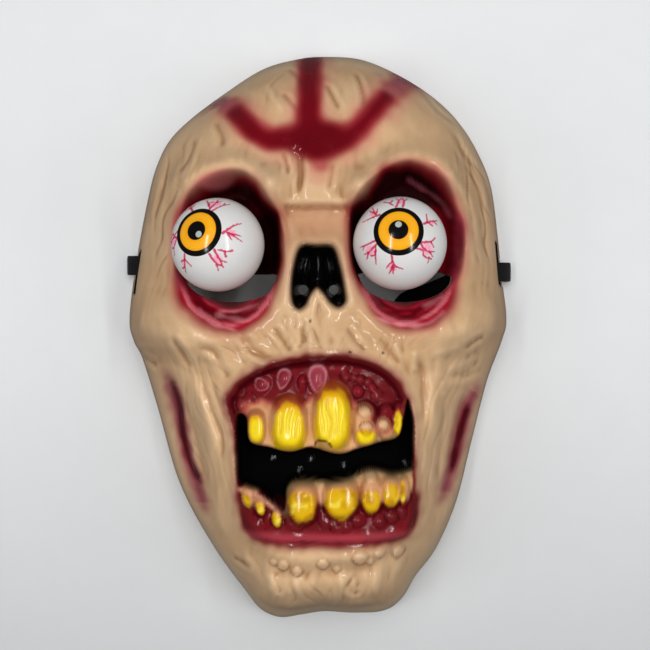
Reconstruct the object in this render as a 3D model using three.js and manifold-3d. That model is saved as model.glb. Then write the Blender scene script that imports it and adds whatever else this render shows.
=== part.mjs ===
import * as THREE from 'three';
import { mergeVertices } from 'three/addons/utils/BufferGeometryUtils.js';
import Module from 'manifold-3d';

// Horror mask lying face up on its rim. Millimetres: x to the right, y to the crown, z out of the face.
const SHEET = 1.0;           // thickness of the formed sheet
const WALL_RISE = 55;        // height the side wall climbs to
const WALL_REACH = 16;       // how fast it climbs, measured in from the rim
const CROWN_RISE = 22;       // extra height of the gentle dome over the whole face
const POLE = [0, -3];        // middle of the face, from which the outline is measured
const FLOOR_Z = 41;          // floor of the eye sockets
const DOME_REACH = 19;       // plan radius of the dome each eyeball rests on
const DOME_RISE = 13;
const EYE_R = 20;            // the eyeballs are 40 mm balls
const GAP = 0.3;             // clearance left between pieces that touch
const BAND_WIDTH = 9;        // elastic band
const BAND_THICK = 0.9;
const SLOT_Z = [7.5, 12.3];  // slots the band leaves through
const RIM_POINTS = 92;
const FILL_STEP = 7.5;       // spacing of the plain skin between the features

const OUTLINE = [
  [1.5, 135.8], [21, 134.3], [41, 125.6], [58, 114], [70, 101], [78.3, 86.5], [83.5, 72], [86.5, 50],
  [88.5, 30], [90.9, 9], [88.6, -2], [81.5, -21], [74, -50], [66.4, -80], [56.7, -102.4], [47, -115.5],
  [40.2, -126.6], [31.5, -132.6], [17, -133.7], [2.5, -133], [-9, -134.6], [-19, -135.8], [-28, -132],
  [-35, -123.7], [-51.4, -101], [-67.4, -71], [-78.1, -34.5], [-85.6, -10.5], [-89.8, -2], [-91.9, 9.5],
  [-88.3, 38.3], [-82.5, 68.8], [-78.6, 83], [-72.6, 95], [-62.6, 105.3], [-46, 117.8], [-27.7, 129.5],
  [-12, 134.3]];
const SOCKETS = [
  { edge: [[-36, 74], [-27.6, 69.8], [-20.6, 60.6], [-14.9, 50], [-13.8, 38], [-14.8, 25], [-18.5, 14],
    [-28, 4.8], [-41, 2.2], [-54.5, 8], [-62.5, 19], [-65.2, 34.5], [-64.2, 50], [-58.5, 63], [-48.5, 71]],
    dome: [-37, 43.5], ball: [-43, 40.1] },
  { edge: [[36, 77], [47, 75], [58, 67.3], [65, 54], [66.6, 41], [63.6, 25.5], [57, 13.3], [45, 4.5],
    [33.5, 3.6], [22.5, 9], [16.3, 19], [13.5, 32], [12.3, 45], [14, 58.5], [23, 69.5]],
    dome: [38.3, 44], ball: [34.9, 40.6] }];
const NOSE = [
  [-7.7, 39.4], [-0.5, 40.2], [6.3, 39.4], [9.3, 31.3], [11.4, 20.7], [11.6, 15.5], [8.6, 13.2], [5, 15.2],
  [2.2, 19], [-0.5, 21.3], [-3.1, 18.6], [-5.2, 14.3], [-8.2, 12.4], [-10.8, 14.7], [-11.6, 20.7],
  [-10.7, 30.1]];
const MOUTH = [
  [-39.8, -27], [-35, -19], [-24, -12.1], [-10, -8.3], [5, -7], [18.7, -8.7], [30, -14], [36.8, -22],
  [40.1, -34], [41, -47.6], [42.2, -62.5], [43.5, -76.6], [40.5, -85.4], [32.5, -88.7], [3, -89],
  [-24, -88.2], [-32.2, -83], [-34.7, -71], [-34.9, -56], [-36, -41], [-38.3, -34]];
const JAW_GAP = [
  [-35.2, -33.5], [-31, -34.6], [-29.5, -44.5], [-21, -46.8], [-12.3, -48.6], [-3, -46.6], [8.6, -49.4],
  [16.8, -47.3], [26, -44.7], [34.2, -42.5], [36.6, -34.6], [38.6, -26], [41.2, -35.5], [41.4, -46.4],
  [41.2, -53.8], [40, -57.3], [32, -58.6], [22.5, -56.4], [14.6, -59.4], [5, -61.2], [-8, -60.9],
  [-13, -64], [-14.6, -73.6], [-18.4, -72.1], [-24.5, -66.8], [-30.6, -64.2], [-34.5, -63.2],
  [-35.6, -55], [-35.6, -44]];
// Teeth: middle x and y, half width, half height, rise over the gum.
const TEETH = [
  [-26.8, -38.2, 4.4, 8, 4], [-12.5, -36.5, 8.2, 12, 5.5], [6, -34, 8.6, 15, 6.5], [20.4, -37, 6, 10, 5],
  [29.2, -36, 4.2, 8, 4], [35.2, -35, 3.2, 8, 3], [-30.2, -68, 2.8, 4.8, 2.4], [-24.9, -72.4, 2.6, 4.2, 2.4],
  [-17.6, -76.6, 2.4, 4.2, 2.2], [-6.5, -70, 6.8, 9.5, 5.5], [9.7, -68, 8, 9.5, 5.5], [23, -67, 5.2, 8.5, 4.6],
  [31.1, -66, 4.6, 7.6, 4.2], [37, -66, 2.6, 7, 3]];
// Round bumps of the skin: x, y, radius, rise.
const WARTS = [
  [-15.3, -97.8, 2.4, 1.9], [-9.2, -100.4, 2.2, 1.7], [2, -96.9, 2.4, 1.7], [18.1, -94.3, 3.2, 2.3],
  [26.7, -93, 2.2, 1.4], [35.4, -94.3, 2.6, 1.8], [19.6, -31.2, 2.6, 2], [20.4, -38, 2.6, 2.2],
  [27.7, -36.7, 2.2, 1.8], [16.8, -22.6, 2.6, 1.6], [22.4, -58.8, 2.6, 2.6]];
// Broad forms: middle x and y, reach along and across, turn in degrees, rise.
const HILLS = [
  [-30, 100, 34, 26, 20, 3], [32, 102, 34, 26, -20, 3], [-70, 75, 15, 48, -12, -5], [72, 70, 15, 52, 10, -5],
  [-20, 66, 12, 10, 40, 4], [18, 65, 13, 9, -35, 3.5], [-1, 66, 12, 16, 0, 3],
  [-68, 5, 30, 17, -12, 11], [69, 8, 30, 17, 10, 11], [-50, -4, 26, 13, -15, 5], [52, -2, 26, 13, 12, 5],
  [-64, -48, 20, 50, 18, -13], [65, -48, 20, 50, -15, -13], [2, -50, 62, 66, 0, 8], [2, -2, 22, 18, 0, 4],
  [1.5, -108, 44, 26, 0, 12], [-14, -114, 20, 14, 0, 2.5], [18, -114, 20, 14, 0, 2.5]];
// Long forms: rise, half width, share tapered at each end, path.
const STROKES = [
  [7, 8, 0.2, [[-9, 58], [-20, 65.5], [-31, 72.5], [-45, 75], [-58, 69], [-66, 58]]],
  [7, 8, 0.2, [[8, 58], [19, 64], [31, 73], [43, 79], [57, 75], [66, 62]]],
  [2.2, 3.2, 0.2, [[-28, -93], [-10, -94.5], [12, -94], [34, -93]]],
  [-2, 3.5, 0.25, [[-26, -101], [-8, -102.5], [10, -101], [32, -99.5]]],
  [-3, 2.6, 0.3, [[-66.3, -21.3], [-58.1, -37.2], [-52.3, -59.8], [-48.2, -72.4]]],
  [-3, 2.6, 0.3, [[68.5, -23.6], [64.8, -41.7], [61.7, -62]]],
  [-2.4, 2.2, 0.3, [[-10.5, 84.5], [-7.9, 72.5], [-8.7, 61]]],
  [2.2, 3.4, 0.3, [[51, 91], [53, 77], [60, 68], [68, 62], [70.5, 43], [75.5, 24]]],
  [2.0, 3.4, 0.3, [[-55.5, 94], [-57.5, 80], [-65, 70], [-72, 61], [-76.5, 50]]],
  [2.2, 3.2, 0.3, [[-54, -14], [-50.8, -31], [-47, -45], [-50.5, -60]]],
  [2.2, 3.2, 0.3, [[50.3, 2], [53, -10.5], [50.5, -27], [51.5, -50]]]];

const clamp = (v, low = 0, high = 1) => Math.min(high, Math.max(low, v));
const smooth = (t) => clamp(t) ** 2 * (3 - 2 * clamp(t));
const mix = (a, b, t) => a + (b - a) * t;
const bell = (t) => Math.exp(-t * t);

// A smooth line through the points, with the given number of short steps between two of them.
function spline(points, closed, steps = 6) {
  const line = [];
  const n = points.length;
  const at = (i) => {
    if (closed) return points[(i + n) % n];
    if (i < 0) return [2 * points[0][0] - points[1][0], 2 * points[0][1] - points[1][1]];
    if (i >= n) return [2 * points[n - 1][0] - points[n - 2][0], 2 * points[n - 1][1] - points[n - 2][1]];
    return points[i];
  };
  for (let i = 0; i < (closed ? n : n - 1); i++) {
    const [a, b, c, d] = [at(i - 1), at(i), at(i + 1), at(i + 2)];
    for (let s = 0; s < steps; s++) {
      const t = s / steps;
      line.push([0, 1].map((k) => 0.5 * (2 * b[k] + (c[k] - a[k]) * t
        + (2 * a[k] - 5 * b[k] + 4 * c[k] - d[k]) * t ** 2 + (3 * b[k] - a[k] - 3 * c[k] + d[k]) * t ** 3)));
    }
  }
  if (!closed) line.push([...points[n - 1]]);
  return line;
}

// Distance from a point to a line, the share of the way along it, and whether a closed line holds it.
function nearest(x, y, line, closed) {
  let best = Infinity;
  let share = 0;
  let inside = false;
  let done = 0;
  const count = closed ? line.length : line.length - 1;
  for (let i = 0; i < count; i++) {
    const [ax, ay] = line[i];
    const [bx, by] = line[(i + 1) % line.length];
    const size = Math.hypot(bx - ax, by - ay);
    const t = clamp(((x - ax) * (bx - ax) + (y - ay) * (by - ay)) / Math.max(size * size, 1e-12));
    const far = Math.hypot(x - mix(ax, bx, t), y - mix(ay, by, t));
    if (far < best) {
      best = far;
      share = done + t * size;
    }
    if (closed && (ay > y) !== (by > y) && x < ax + ((y - ay) * (bx - ax)) / (by - ay)) inside = !inside;
    done += size;
  }
  return { far: best, share: share / done, inside };
}

// Positive inside the closed line, negative outside it.
function depthIn(x, y, line) {
  const { far, inside } = nearest(x, y, line, true);
  return inside ? far : -far;
}

const rimLine = spline(OUTLINE, true, 8);
const socketLines = SOCKETS.map((socket) => spline(socket.edge, true));
const noseLine = spline(NOSE, true);
const mouthLine = spline(MOUTH, true);
const gapLine = spline(JAW_GAP, true);
const strokeLines = STROKES.map((stroke) => spline(stroke[3], false));

const rimPolar = rimLine.map(([x, y]) => [Math.atan2(y - POLE[1], x - POLE[0]), Math.hypot(x - POLE[0], y - POLE[1])])
  .sort((a, b) => a[0] - b[0]);

// How far the rim is from the pole in one direction.
function rimReach(angle) {
  const n = rimPolar.length;
  let high = rimPolar.findIndex((p) => p[0] >= angle);
  if (high < 0) high = 0;
  const a = rimPolar[(high - 1 + n) % n];
  const b = rimPolar[high];
  const turn = 2 * Math.PI;
  const span = (b[0] - a[0] + turn) % turn;
  return mix(a[1], b[1], span ? ((angle - a[0] + turn) % turn) / span : 0);
}

// Height of the outer face over any point of the plan.
function faceHeight(x, y) {
  const reach = rimReach(Math.atan2(y - POLE[1], x - POLE[0]));
  const rho = Math.hypot(x - POLE[0], y - POLE[1]) / reach;
  const d = Math.max(0, (1 - rho) * reach);
  let z = WALL_RISE * (1 - Math.exp(-d / WALL_REACH)) + CROWN_RISE * clamp(1 - rho * rho);
  let raised = 0;
  for (const [cx, cy, rx, ry, turn, rise] of HILLS) {
    const c = Math.cos((turn * Math.PI) / 180);
    const s = Math.sin((turn * Math.PI) / 180);
    const q = (((x - cx) * c + (y - cy) * s) / rx) ** 2 + (((y - cy) * c - (x - cx) * s) / ry) ** 2;
    raised += rise * clamp(1 - q) ** 2;
  }
  STROKES.forEach(([rise, width, taper], i) => {
    const { far, share } = nearest(x, y, strokeLines[i], false);
    raised += rise * bell(far / width) * smooth(share / taper) * smooth((1 - share) / taper);
  });
  z += raised * smooth(d / 14);
  z -= 5.5 * smooth((17 - Math.abs(x + 0.5)) / 5) * smooth((59 - y) / 3.5) * smooth((y - 30) / 24);

  const low = smooth((32 - y) / 18);
  SOCKETS.forEach(({ dome }, i) => {
    const e = depthIn(x, y, socketLines[i]);
    z += 1.6 * bell((e + 2) / 3.5);
    z = mix(z, FLOOR_Z + 3 * low, smooth(e / (9 + 10 * low)));
    z += low * smooth((e + 2) / 3) * (2.2 * bell((e - 4) / 2) + 2.4 * bell((e - 10.5) / 1.9));
    const r = Math.hypot(x - dome[0], y - dome[1]);
    const ball = (DOME_REACH ** 2 + DOME_RISE ** 2) / (2 * DOME_RISE);
    if (r < DOME_REACH) z = Math.max(z, FLOOR_Z + DOME_RISE - ball + Math.sqrt(ball * ball - r * r));
  });

  let e = depthIn(x, y, noseLine);
  z += 2.2 * bell((e + 1.5) / 3.2);
  const nostril = (cx) => clamp(1 - ((x - cx) / 5) ** 2 - ((y - 21.3) / 9) ** 2) ** 2;
  z = mix(z, 60 + 4.5 * bell(x / 2.6) * smooth((y - 22) / 8) - 4 * nostril(-6.7) - 4 * nostril(6.8), smooth(e / 4.5));

  e = depthIn(x, y, mouthLine);
  z += 2 * bell((e + 1.5) / 3.5);
  z = mix(z, 74 - 10 * ((x - 3) / 40) ** 2, smooth(e / 4));
  for (const [tx, ty, rx, ry, rise] of TEETH) {
    const q = Math.abs((x - tx) / rx) ** 2.6 + Math.abs((y - ty) / ry) ** 2.6;
    z += rise * smooth((1.15 - q) / 0.9);
  }
  z = mix(z, 57 - 6 * ((x - 3) / 40) ** 2, smooth((depthIn(x, y, gapLine) + 0.5) / 3));
  for (const [wx, wy, r, rise] of WARTS) {
    z += rise * Math.sqrt(clamp(1 - ((x - wx) ** 2 + (y - wy) ** 2) / (r * r)));
  }
  return z;
}

// Plan points of the skin: rows along the rim, rows along every feature, and an even fill between them.
const spots = [];
const rimAngles = [];
for (let i = 0; i < RIM_POINTS; i++) rimAngles.push(-Math.PI + (2 * Math.PI * (i + 0.5)) / RIM_POINTS);
// The topmost and lowest points of the outline are rim points themselves.
for (const pick of [(a, b) => b[1] - a[1], (a, b) => a[1] - b[1]]) {
  const [x, y] = [...rimLine].sort(pick)[0];
  const angle = Math.atan2(y - POLE[1], x - POLE[0]);
  const near = rimAngles.map((a, i) => [Math.abs(a - angle), i]).sort((a, b) => a[0] - b[0])[0][1];
  rimAngles[near] = angle;
}

function onRay(angle, inset) {
  const r = rimReach(angle) - inset;
  return [POLE[0] + r * Math.cos(angle), POLE[1] + r * Math.sin(angle)];
}

function addSpot(x, y, clear) {
  const d = rimReach(Math.atan2(y - POLE[1], x - POLE[0])) - Math.hypot(x - POLE[0], y - POLE[1]);
  if (d < 4) return;
  if (spots.some(([px, py]) => Math.hypot(px - x, py - y) < clear)) return;
  spots.push([x, y]);
}

// A row of spots beside a closed line, shifted inward by the given distance.
function addRow(line, inset, step, clear) {
  let carry = 0;
  for (let i = 0; i < line.length; i++) {
    const [ax, ay] = line[i];
    const [bx, by] = line[(i + 1) % line.length];
    const size = Math.hypot(bx - ax, by - ay);
    for (; carry < size; carry += step) {
      const t = carry / size;
      const [x, y] = [mix(ax, bx, t), mix(ay, by, t)];
      const [nx, ny] = [-(by - ay) / size, (bx - ax) / size];
      const way = depthIn(x + nx * 0.5, y + ny * 0.5, line) > 0 ? 1 : -1;
      addSpot(x + nx * inset * way, y + ny * inset * way, clear);
    }
    carry -= size;
  }
}

function addRing(cx, cy, rx, ry, count, clear) {
  for (let i = 0; i < count; i++) {
    const a = (2 * Math.PI * (i + 0.5)) / count;
    const fold = (v) => Math.sign(v) * Math.abs(v) ** 0.8;
    addSpot(cx + rx * fold(Math.cos(a)), cy + ry * fold(Math.sin(a)), clear);
  }
}

rimAngles.forEach((angle) => spots.push(onRay(angle, 0)));
rimAngles.forEach((angle) => spots.push(onRay(angle, 2.5)));
addRow(gapLine, -0.5, 3.3, 1.8);
addRow(gapLine, 2.5, 3.4, 1.8);
for (const [wx, wy, r] of WARTS) {
  addSpot(wx, wy, 1);
  addRing(wx, wy, r * 0.66, r * 0.66, 6, 0.8);
  addRing(wx, wy, r * 1.05, r * 1.05, 6, 1);
}
for (const [tx, ty, rx, ry] of TEETH) {
  const count = rx > 5 ? 12 : 8;
  addSpot(tx, ty, 1.2);
  addRing(tx, ty, rx * 0.62, ry * 0.68, count, 1.5);
  addRing(tx, ty, rx * 1.06, ry * 1.05, count, 1.8);
}
addRow(noseLine, -1.4, 3, 1.6);
addRow(noseLine, 0.6, 3, 1.6);
addRow(noseLine, 4.2, 3, 1.6);
addRow(mouthLine, -1.5, 4.2, 2);
addRow(mouthLine, 0.6, 4.2, 1.8);
addRow(mouthLine, 3.8, 4.2, 2);
for (const [i, { dome }] of SOCKETS.entries()) {
  for (const inset of [-2, 1.2, 4.2, 7.4, 10.6]) addRow(socketLines[i], inset, 5, 2.6);
  addSpot(dome[0], dome[1], 2);
  for (const [r, count] of [[19, 20], [16.6, 18], [12, 12], [6.5, 8]]) addRing(dome[0], dome[1], r, r, count, 2);
}
for (const y of [59.2, 55.3]) for (let x = -14; x <= 14; x += 3.5) addSpot(x, y, 2.2);
for (const inset of [6, 11, 17]) rimAngles.forEach((angle) => addSpot(...onRay(angle, inset), 3.8));
STROKES.forEach(([, width], i) => {
  const line = strokeLines[i];
  for (const side of [0, -1.1, 1.1]) {
    for (let k = 1; k < line.length - 1; k += 2) {
      const [dx, dy] = [line[k + 1][0] - line[k - 1][0], line[k + 1][1] - line[k - 1][1]];
      const size = Math.hypot(dx, dy);
      addSpot(line[k][0] - (dy / size) * width * side, line[k][1] + (dx / size) * width * side, 2.8);
    }
  }
});
for (let row = -24; row <= 24; row++) {
  for (let col = -18; col <= 18; col++) {
    addSpot((col + (row % 2 ? 0.5 : 0)) * FILL_STEP, row * FILL_STEP * 0.866, FILL_STEP * 0.58);
  }
}

// Joins the plan points into well-shaped triangles: no point lies in the circle round another triangle.
function triangulate(points) {
  const n = points.length;
  const all = [...points, [-2000, -1500], [2000, -1500], [0, 2500]];
  const circle = (a, b, c) => {
    const [ax, ay] = all[a];
    const [bx, by] = [all[b][0] - ax, all[b][1] - ay];
    const [cx, cy] = [all[c][0] - ax, all[c][1] - ay];
    const twice = 2 * (bx * cy - by * cx);
    const ux = (cy * (bx * bx + by * by) - by * (cx * cx + cy * cy)) / twice;
    const uy = (bx * (cx * cx + cy * cy) - cx * (bx * bx + by * by)) / twice;
    return { ids: [a, b, c], x: ax + ux, y: ay + uy, rr: ux * ux + uy * uy };
  };
  let faces = [circle(n, n + 1, n + 2)];
  for (let p = 0; p < n; p++) {
    const [x, y] = all[p];
    const open = new Map();
    const kept = [];
    for (const face of faces) {
      if ((face.x - x) ** 2 + (face.y - y) ** 2 >= face.rr) {
        kept.push(face);
        continue;
      }
      face.ids.forEach((a, i) => {
        const b = face.ids[(i + 1) % 3];
        if (open.has(`${b}_${a}`)) open.delete(`${b}_${a}`);
        else open.set(`${a}_${b}`, [a, b]);
      });
    }
    for (const [a, b] of open.values()) kept.push(circle(a, b, p));
    faces = kept;
  }
  return faces.map((face) => face.ids).filter((ids) => {
    if (Math.max(...ids) >= n) return false;
    const x = (points[ids[0]][0] + points[ids[1]][0] + points[ids[2]][0]) / 3;
    const y = (points[ids[0]][1] + points[ids[1]][1] + points[ids[2]][1]) / 3;
    return Math.hypot(x - POLE[0], y - POLE[1]) < rimReach(Math.atan2(y - POLE[1], x - POLE[0]));
  });
}

const plan = triangulate(spots);
const outer = spots.map(([x, y], i) => [x, y, i < RIM_POINTS ? 0 : faceHeight(x, y)]);

// The inner face lies one sheet below the outer one, measured square to the slope.
const inner = spots.map(([x, y], i) => {
  if (i < RIM_POINTS) return [...onRay(rimAngles[i], SHEET * 1.05), 0];
  const h = 0.4;
  const slope = Math.hypot(faceHeight(x + h, y) - faceHeight(x - h, y), faceHeight(x, y + h) - faceHeight(x, y - h));
  return [x, y, outer[i][2] - SHEET * Math.min(4.2, Math.hypot(1, slope / (2 * h)))];
});

function solidOf(points, faces) {
  const geometry = new THREE.BufferGeometry();
  geometry.setAttribute('position', new THREE.Float32BufferAttribute(points.flat(), 3));
  geometry.setIndex(faces.flat());
  return geometry;
}

const wasm = await Module();
wasm.setup();

function toManifold(geometry) {
  const clean = geometry.clone();
  clean.deleteAttribute('normal');
  clean.deleteAttribute('uv');
  const merged = mergeVertices(clean, 1e-4);
  return new wasm.Manifold(new wasm.Mesh({
    numProp: 3,
    vertProperties: new Float32Array(merged.attributes.position.array),
    triVerts: new Uint32Array(merged.index.array),
  }));
}

function toGeometry(manifold) {
  const mesh = manifold.getMesh();
  const geometry = new THREE.BufferGeometry();
  const count = mesh.vertProperties.length / mesh.numProp;
  const position = new Float32Array(count * 3);
  for (let i = 0; i < count; i++) {
    for (let k = 0; k < 3; k++) position[i * 3 + k] = mesh.vertProperties[i * mesh.numProp + k];
  }
  geometry.setAttribute('position', new THREE.BufferAttribute(position, 3));
  geometry.setIndex(Array.from(mesh.triVerts));
  geometry.computeVertexNormals();
  return geometry;
}

function upright(outline, low, high) {
  const shape = new THREE.Shape(outline.map(([x, y]) => new THREE.Vector2(x, y)));
  const geometry = new THREE.ExtrudeGeometry(shape, { depth: high - low, bevelEnabled: false });
  geometry.translate(0, 0, low);
  return toManifold(geometry);
}

function block(low, high) {
  const size = high.map((v, k) => v - low[k]);
  const geometry = new THREE.BoxGeometry(...size);
  geometry.translate(...low.map((v, k) => v + size[k] / 2));
  return toManifold(geometry);
}

// Shell: outer face, inner face turned over, and the narrow ring of the rim between them.
const n = spots.length;
const shellFaces = plan.map((ids) => {
  const [a, b, c] = ids.map((i) => spots[i]);
  const left = (b[0] - a[0]) * (c[1] - a[1]) - (b[1] - a[1]) * (c[0] - a[0]);
  return left > 0 ? ids : [ids[0], ids[2], ids[1]];
});
const sheetFaces = [...shellFaces, ...shellFaces.map(([a, b, c]) => [a + n, c + n, b + n])];
for (let i = 0; i < RIM_POINTS; i++) {
  const j = (i + 1) % RIM_POINTS;
  sheetFaces.push([j, i, i + n], [j, i + n, j + n]);
}
let shell = toManifold(solidOf([...outer, ...inner], sheetFaces));

// See-through slits under the eyeballs, straight above and rounded below.
const slits = [
  { from: -58.8, to: -16.3, top: 28.6, low: 16 },
  { from: 16.8, to: 59.3, top: 29.6, low: 16 }];
for (const { from, to, top, low } of slits) {
  const outline = [];
  for (let i = 0; i <= 14; i++) {
    const a = Math.PI * (1 + i / 14);
    outline.push([(from + to) / 2 + ((to - from) / 2) * Math.cos(a), top - 2 + (top - 2 - low) * Math.sin(a)]);
  }
  outline.push([to - 4, top], [from + 4, top]);
  shell = shell.subtract(upright(outline, 20, 70));
}
for (const x of [-6.7, 6.8]) {
  const hole = new THREE.CylinderGeometry(2.2, 2.2, 40, 14).rotateX(Math.PI / 2).translate(x, 21.3, 58);
  shell = shell.subtract(toManifold(hole));
}

// Band slots in both side walls, flared at their ends, and the rim trimmed shallowly where the band
// comes back under it. y is the middle of the band, slot the slot's two ends.
const sides = [
  { sign: -1, y: 34.4, slot: [21.1, 40.5], rim: 88.8 },
  { sign: 1, y: 31.2, slot: [25.2, 44.7], rim: 88.4 }];
for (const { sign, y, slot } of sides) {
  const [near, far] = sign < 0 ? [-96, -78] : [78, 96];
  const [start, end] = slot;
  const [low, high] = SLOT_Z;
  const mouth = upright([[start, low - 0.8], [start + 2.6, low], [end - 2.6, low], [end, low - 0.8],
    [end - 1.4, (low + high) / 2], [end, high + 0.8], [end - 2.6, high], [start + 2.6, high],
    [start, high + 0.8], [start + 1.4, (low + high) / 2]], near, far);
  shell = shell.subtract(mouth.rotate([90, 0, 90]));
  shell = shell.subtract(block([near, y - 7, -2], [far, y + 7, 1.7]));
}

// Flat band swept along a path of [x, y, z]; its width always lies along the plan, square to the path.
function bandOf(path, widthWay) {
  const points = [];
  const faces = [];
  path.forEach((p, i) => {
    const before = path[Math.max(0, i - 1)];
    const after = path[Math.min(path.length - 1, i + 1)];
    const along = new THREE.Vector3(...after.map((v, k) => v - before[k])).normalize();
    const across = widthWay ? new THREE.Vector3(...widthWay) : new THREE.Vector3(-along.y, along.x, 0).normalize();
    const up = new THREE.Vector3().crossVectors(along, across).normalize();
    for (const [w, t] of [[-1, -1], [1, -1], [1, 1], [-1, 1]]) {
      const corner = new THREE.Vector3(...p).addScaledVector(across, (w * BAND_WIDTH) / 2);
      points.push(corner.addScaledVector(up, (t * BAND_THICK) / 2).toArray());
    }
    if (!i) return;
    const a = (i - 1) * 4;
    for (let k = 0; k < 4; k++) {
      const l = (k + 1) % 4;
      faces.push([a + k, a + 4 + k, a + 4 + l], [a + k, a + 4 + l, a + l]);
    }
  });
  const last = points.length - 4;
  faces.push([0, 1, 2], [0, 2, 3], [last, last + 2, last + 1], [last, last + 3, last + 2]);
  const made = toManifold(solidOf(points, faces));
  if (made.volume() > 0) return made;
  return toManifold(solidOf(points, faces.map(([a, b, c]) => [a, c, b])));
}

// The run lies loosely on the ground, past the right eye slit and round below the nose; near each side it
// climbs to the slot, goes out, turns down round the rim and comes back under it, where it is sewn down.
const low = BAND_THICK / 2;
const slotBottom = SLOT_Z[0] + 0.4 + BAND_THICK / 2;
const bow = 92.2;
const LOOSE_RUN = [
  [-72.4, 31.6], [-70.2, 27], [-68.6, 20], [-65, 11], [-58, 1], [-47, -10], [-33, -20], [-18, -26.5],
  [-2, -28.5], [13, -26], [26, -19], [34, -9], [37.6, 2], [38.6, 10], [40.6, 15.6], [45, 18.8], [51, 20.8],
  [60, 24.4], [66, 27.2], [72.4, 29.8]];
const run = spline(LOOSE_RUN, false, 3).map(([x, y]) => [x, y, low]);
const climb = ({ sign, y }) => [
  [sign * 88, y, slotBottom], [sign * 84.5, y, slotBottom - 0.25], [sign * 81.5, y, slotBottom - 1.5],
  [sign * 79, y - 0.1, slotBottom - 3.2], [sign * 76.8, y - 0.4, slotBottom - 5.3],
  [sign * 74.6, y - 1, low + 0.75]];
const [leftSide, rightSide] = sides;
let band = bandOf([...climb(leftSide), ...run, ...climb(rightSide).reverse()], null);
for (const { sign, y, rim } of sides) {
  const out = bow - BAND_THICK / 2;
  const under = 0.3 + BAND_THICK / 2;
  const bend = [[87.6, slotBottom], [89.8, slotBottom - 0.15], [out - 0.6, slotBottom - 0.9],
    [out - 0.1, slotBottom - 2.2], [out, slotBottom - 3.8], [out - 0.1, under + 2.2], [out - 0.9, under + 0.7],
    [out - 2.2, under + 0.05], [rim - 2, under], [83, low], [78, low], [72.5, low]];
  band = band.add(bandOf(bend.map(([x, z]) => [sign * x, y, z]), [0, 1, 0]));
}

// Each ball is lowered until it just clears the sheet below it.
function restHeight([bx, by]) {
  const reach = EYE_R + GAP;
  let rest = 0;
  const steps = 6;
  for (const ids of plan) {
    const corners = ids.map((i) => outer[i]);
    if (corners.every(([x, y]) => Math.hypot(x - bx, y - by) > reach + 8)) continue;
    for (let i = 0; i <= steps; i++) {
      for (let j = 0; j <= steps - i; j++) {
        const share = [i / steps, j / steps, (steps - i - j) / steps];
        const [x, y, z] = [0, 1, 2].map((k) => share.reduce((sum, s, c) => sum + s * corners[c][k], 0));
        const plan2 = (x - bx) ** 2 + (y - by) ** 2;
        if (plan2 < reach * reach) rest = Math.max(rest, z + Math.sqrt(reach * reach - plan2));
      }
    }
  }
  return rest;
}

function piece(name, geometry, colour, roughness) {
  const mesh = new THREE.Mesh(geometry, new THREE.MeshStandardMaterial({ color: colour, roughness, metalness: 0 }));
  mesh.name = name;
  return mesh;
}

const group = new THREE.Group();
group.name = 'horror_mask';
group.add(piece('mask_shell', toGeometry(shell), 0xc7a580, 0.28));
SOCKETS.forEach(({ ball }, i) => {
  const sphere = new THREE.SphereGeometry(EYE_R, 24, 13).rotateX(Math.PI / 2);
  sphere.translate(ball[0], ball[1], restHeight(ball));
  group.add(piece(['eyeball_left', 'eyeball_right'][i], sphere, 0xf1f1ee, 0.15));
});
group.add(piece('strap', toGeometry(band), 0x141416, 0.85));

export default group;
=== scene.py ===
"""Horror mask lying face up, seen from straight above: painted shell, two printed eyeballs, elastic band."""
from functools import partial

import bpy
import numpy as np
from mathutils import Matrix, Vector


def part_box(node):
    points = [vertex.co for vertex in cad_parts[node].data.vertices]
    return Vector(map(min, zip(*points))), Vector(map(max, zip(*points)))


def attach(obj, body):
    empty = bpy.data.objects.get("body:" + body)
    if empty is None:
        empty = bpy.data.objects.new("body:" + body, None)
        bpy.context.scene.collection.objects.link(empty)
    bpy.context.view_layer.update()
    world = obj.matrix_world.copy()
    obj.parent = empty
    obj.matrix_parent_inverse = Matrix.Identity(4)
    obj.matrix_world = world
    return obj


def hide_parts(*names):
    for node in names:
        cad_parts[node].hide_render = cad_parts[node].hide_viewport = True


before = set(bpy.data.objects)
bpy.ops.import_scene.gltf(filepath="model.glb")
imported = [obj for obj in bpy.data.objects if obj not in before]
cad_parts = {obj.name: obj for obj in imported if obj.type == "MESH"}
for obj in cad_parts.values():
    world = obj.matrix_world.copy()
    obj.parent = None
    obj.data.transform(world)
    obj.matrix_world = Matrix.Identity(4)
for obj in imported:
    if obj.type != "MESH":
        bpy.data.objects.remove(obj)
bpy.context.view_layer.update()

# Tables are in millimetres: x to the right, y to the crown, z out of the face. Outlines and paths are x and y
# in turn.
MM = 0.001
# Thickness of the sheet, rise of its wall and crown, middle of its rings, floor and domes of its sockets.
SHEET = 1.0
WALL_RISE, WALL_REACH, CROWN_RISE = 55.0, 16.0, 22.0
POLE = (0.0, -3.0)
FLOOR_Z = 41.0
DOME_REACH, DOME_RISE = 19.0, 13.0
NOSTRILS = [(-6.7, 21.3), (6.8, 21.3)]
EYE_R = 20.0
BAND_WIDTH, BAND_THICK = 9.0, 0.9
SLOT_LOW, SLOT_HIGH = 7.5, 12.3
BOW = 92.2
SHELL_COLUMNS, SHELL_ROWS = 600, 147

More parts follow.
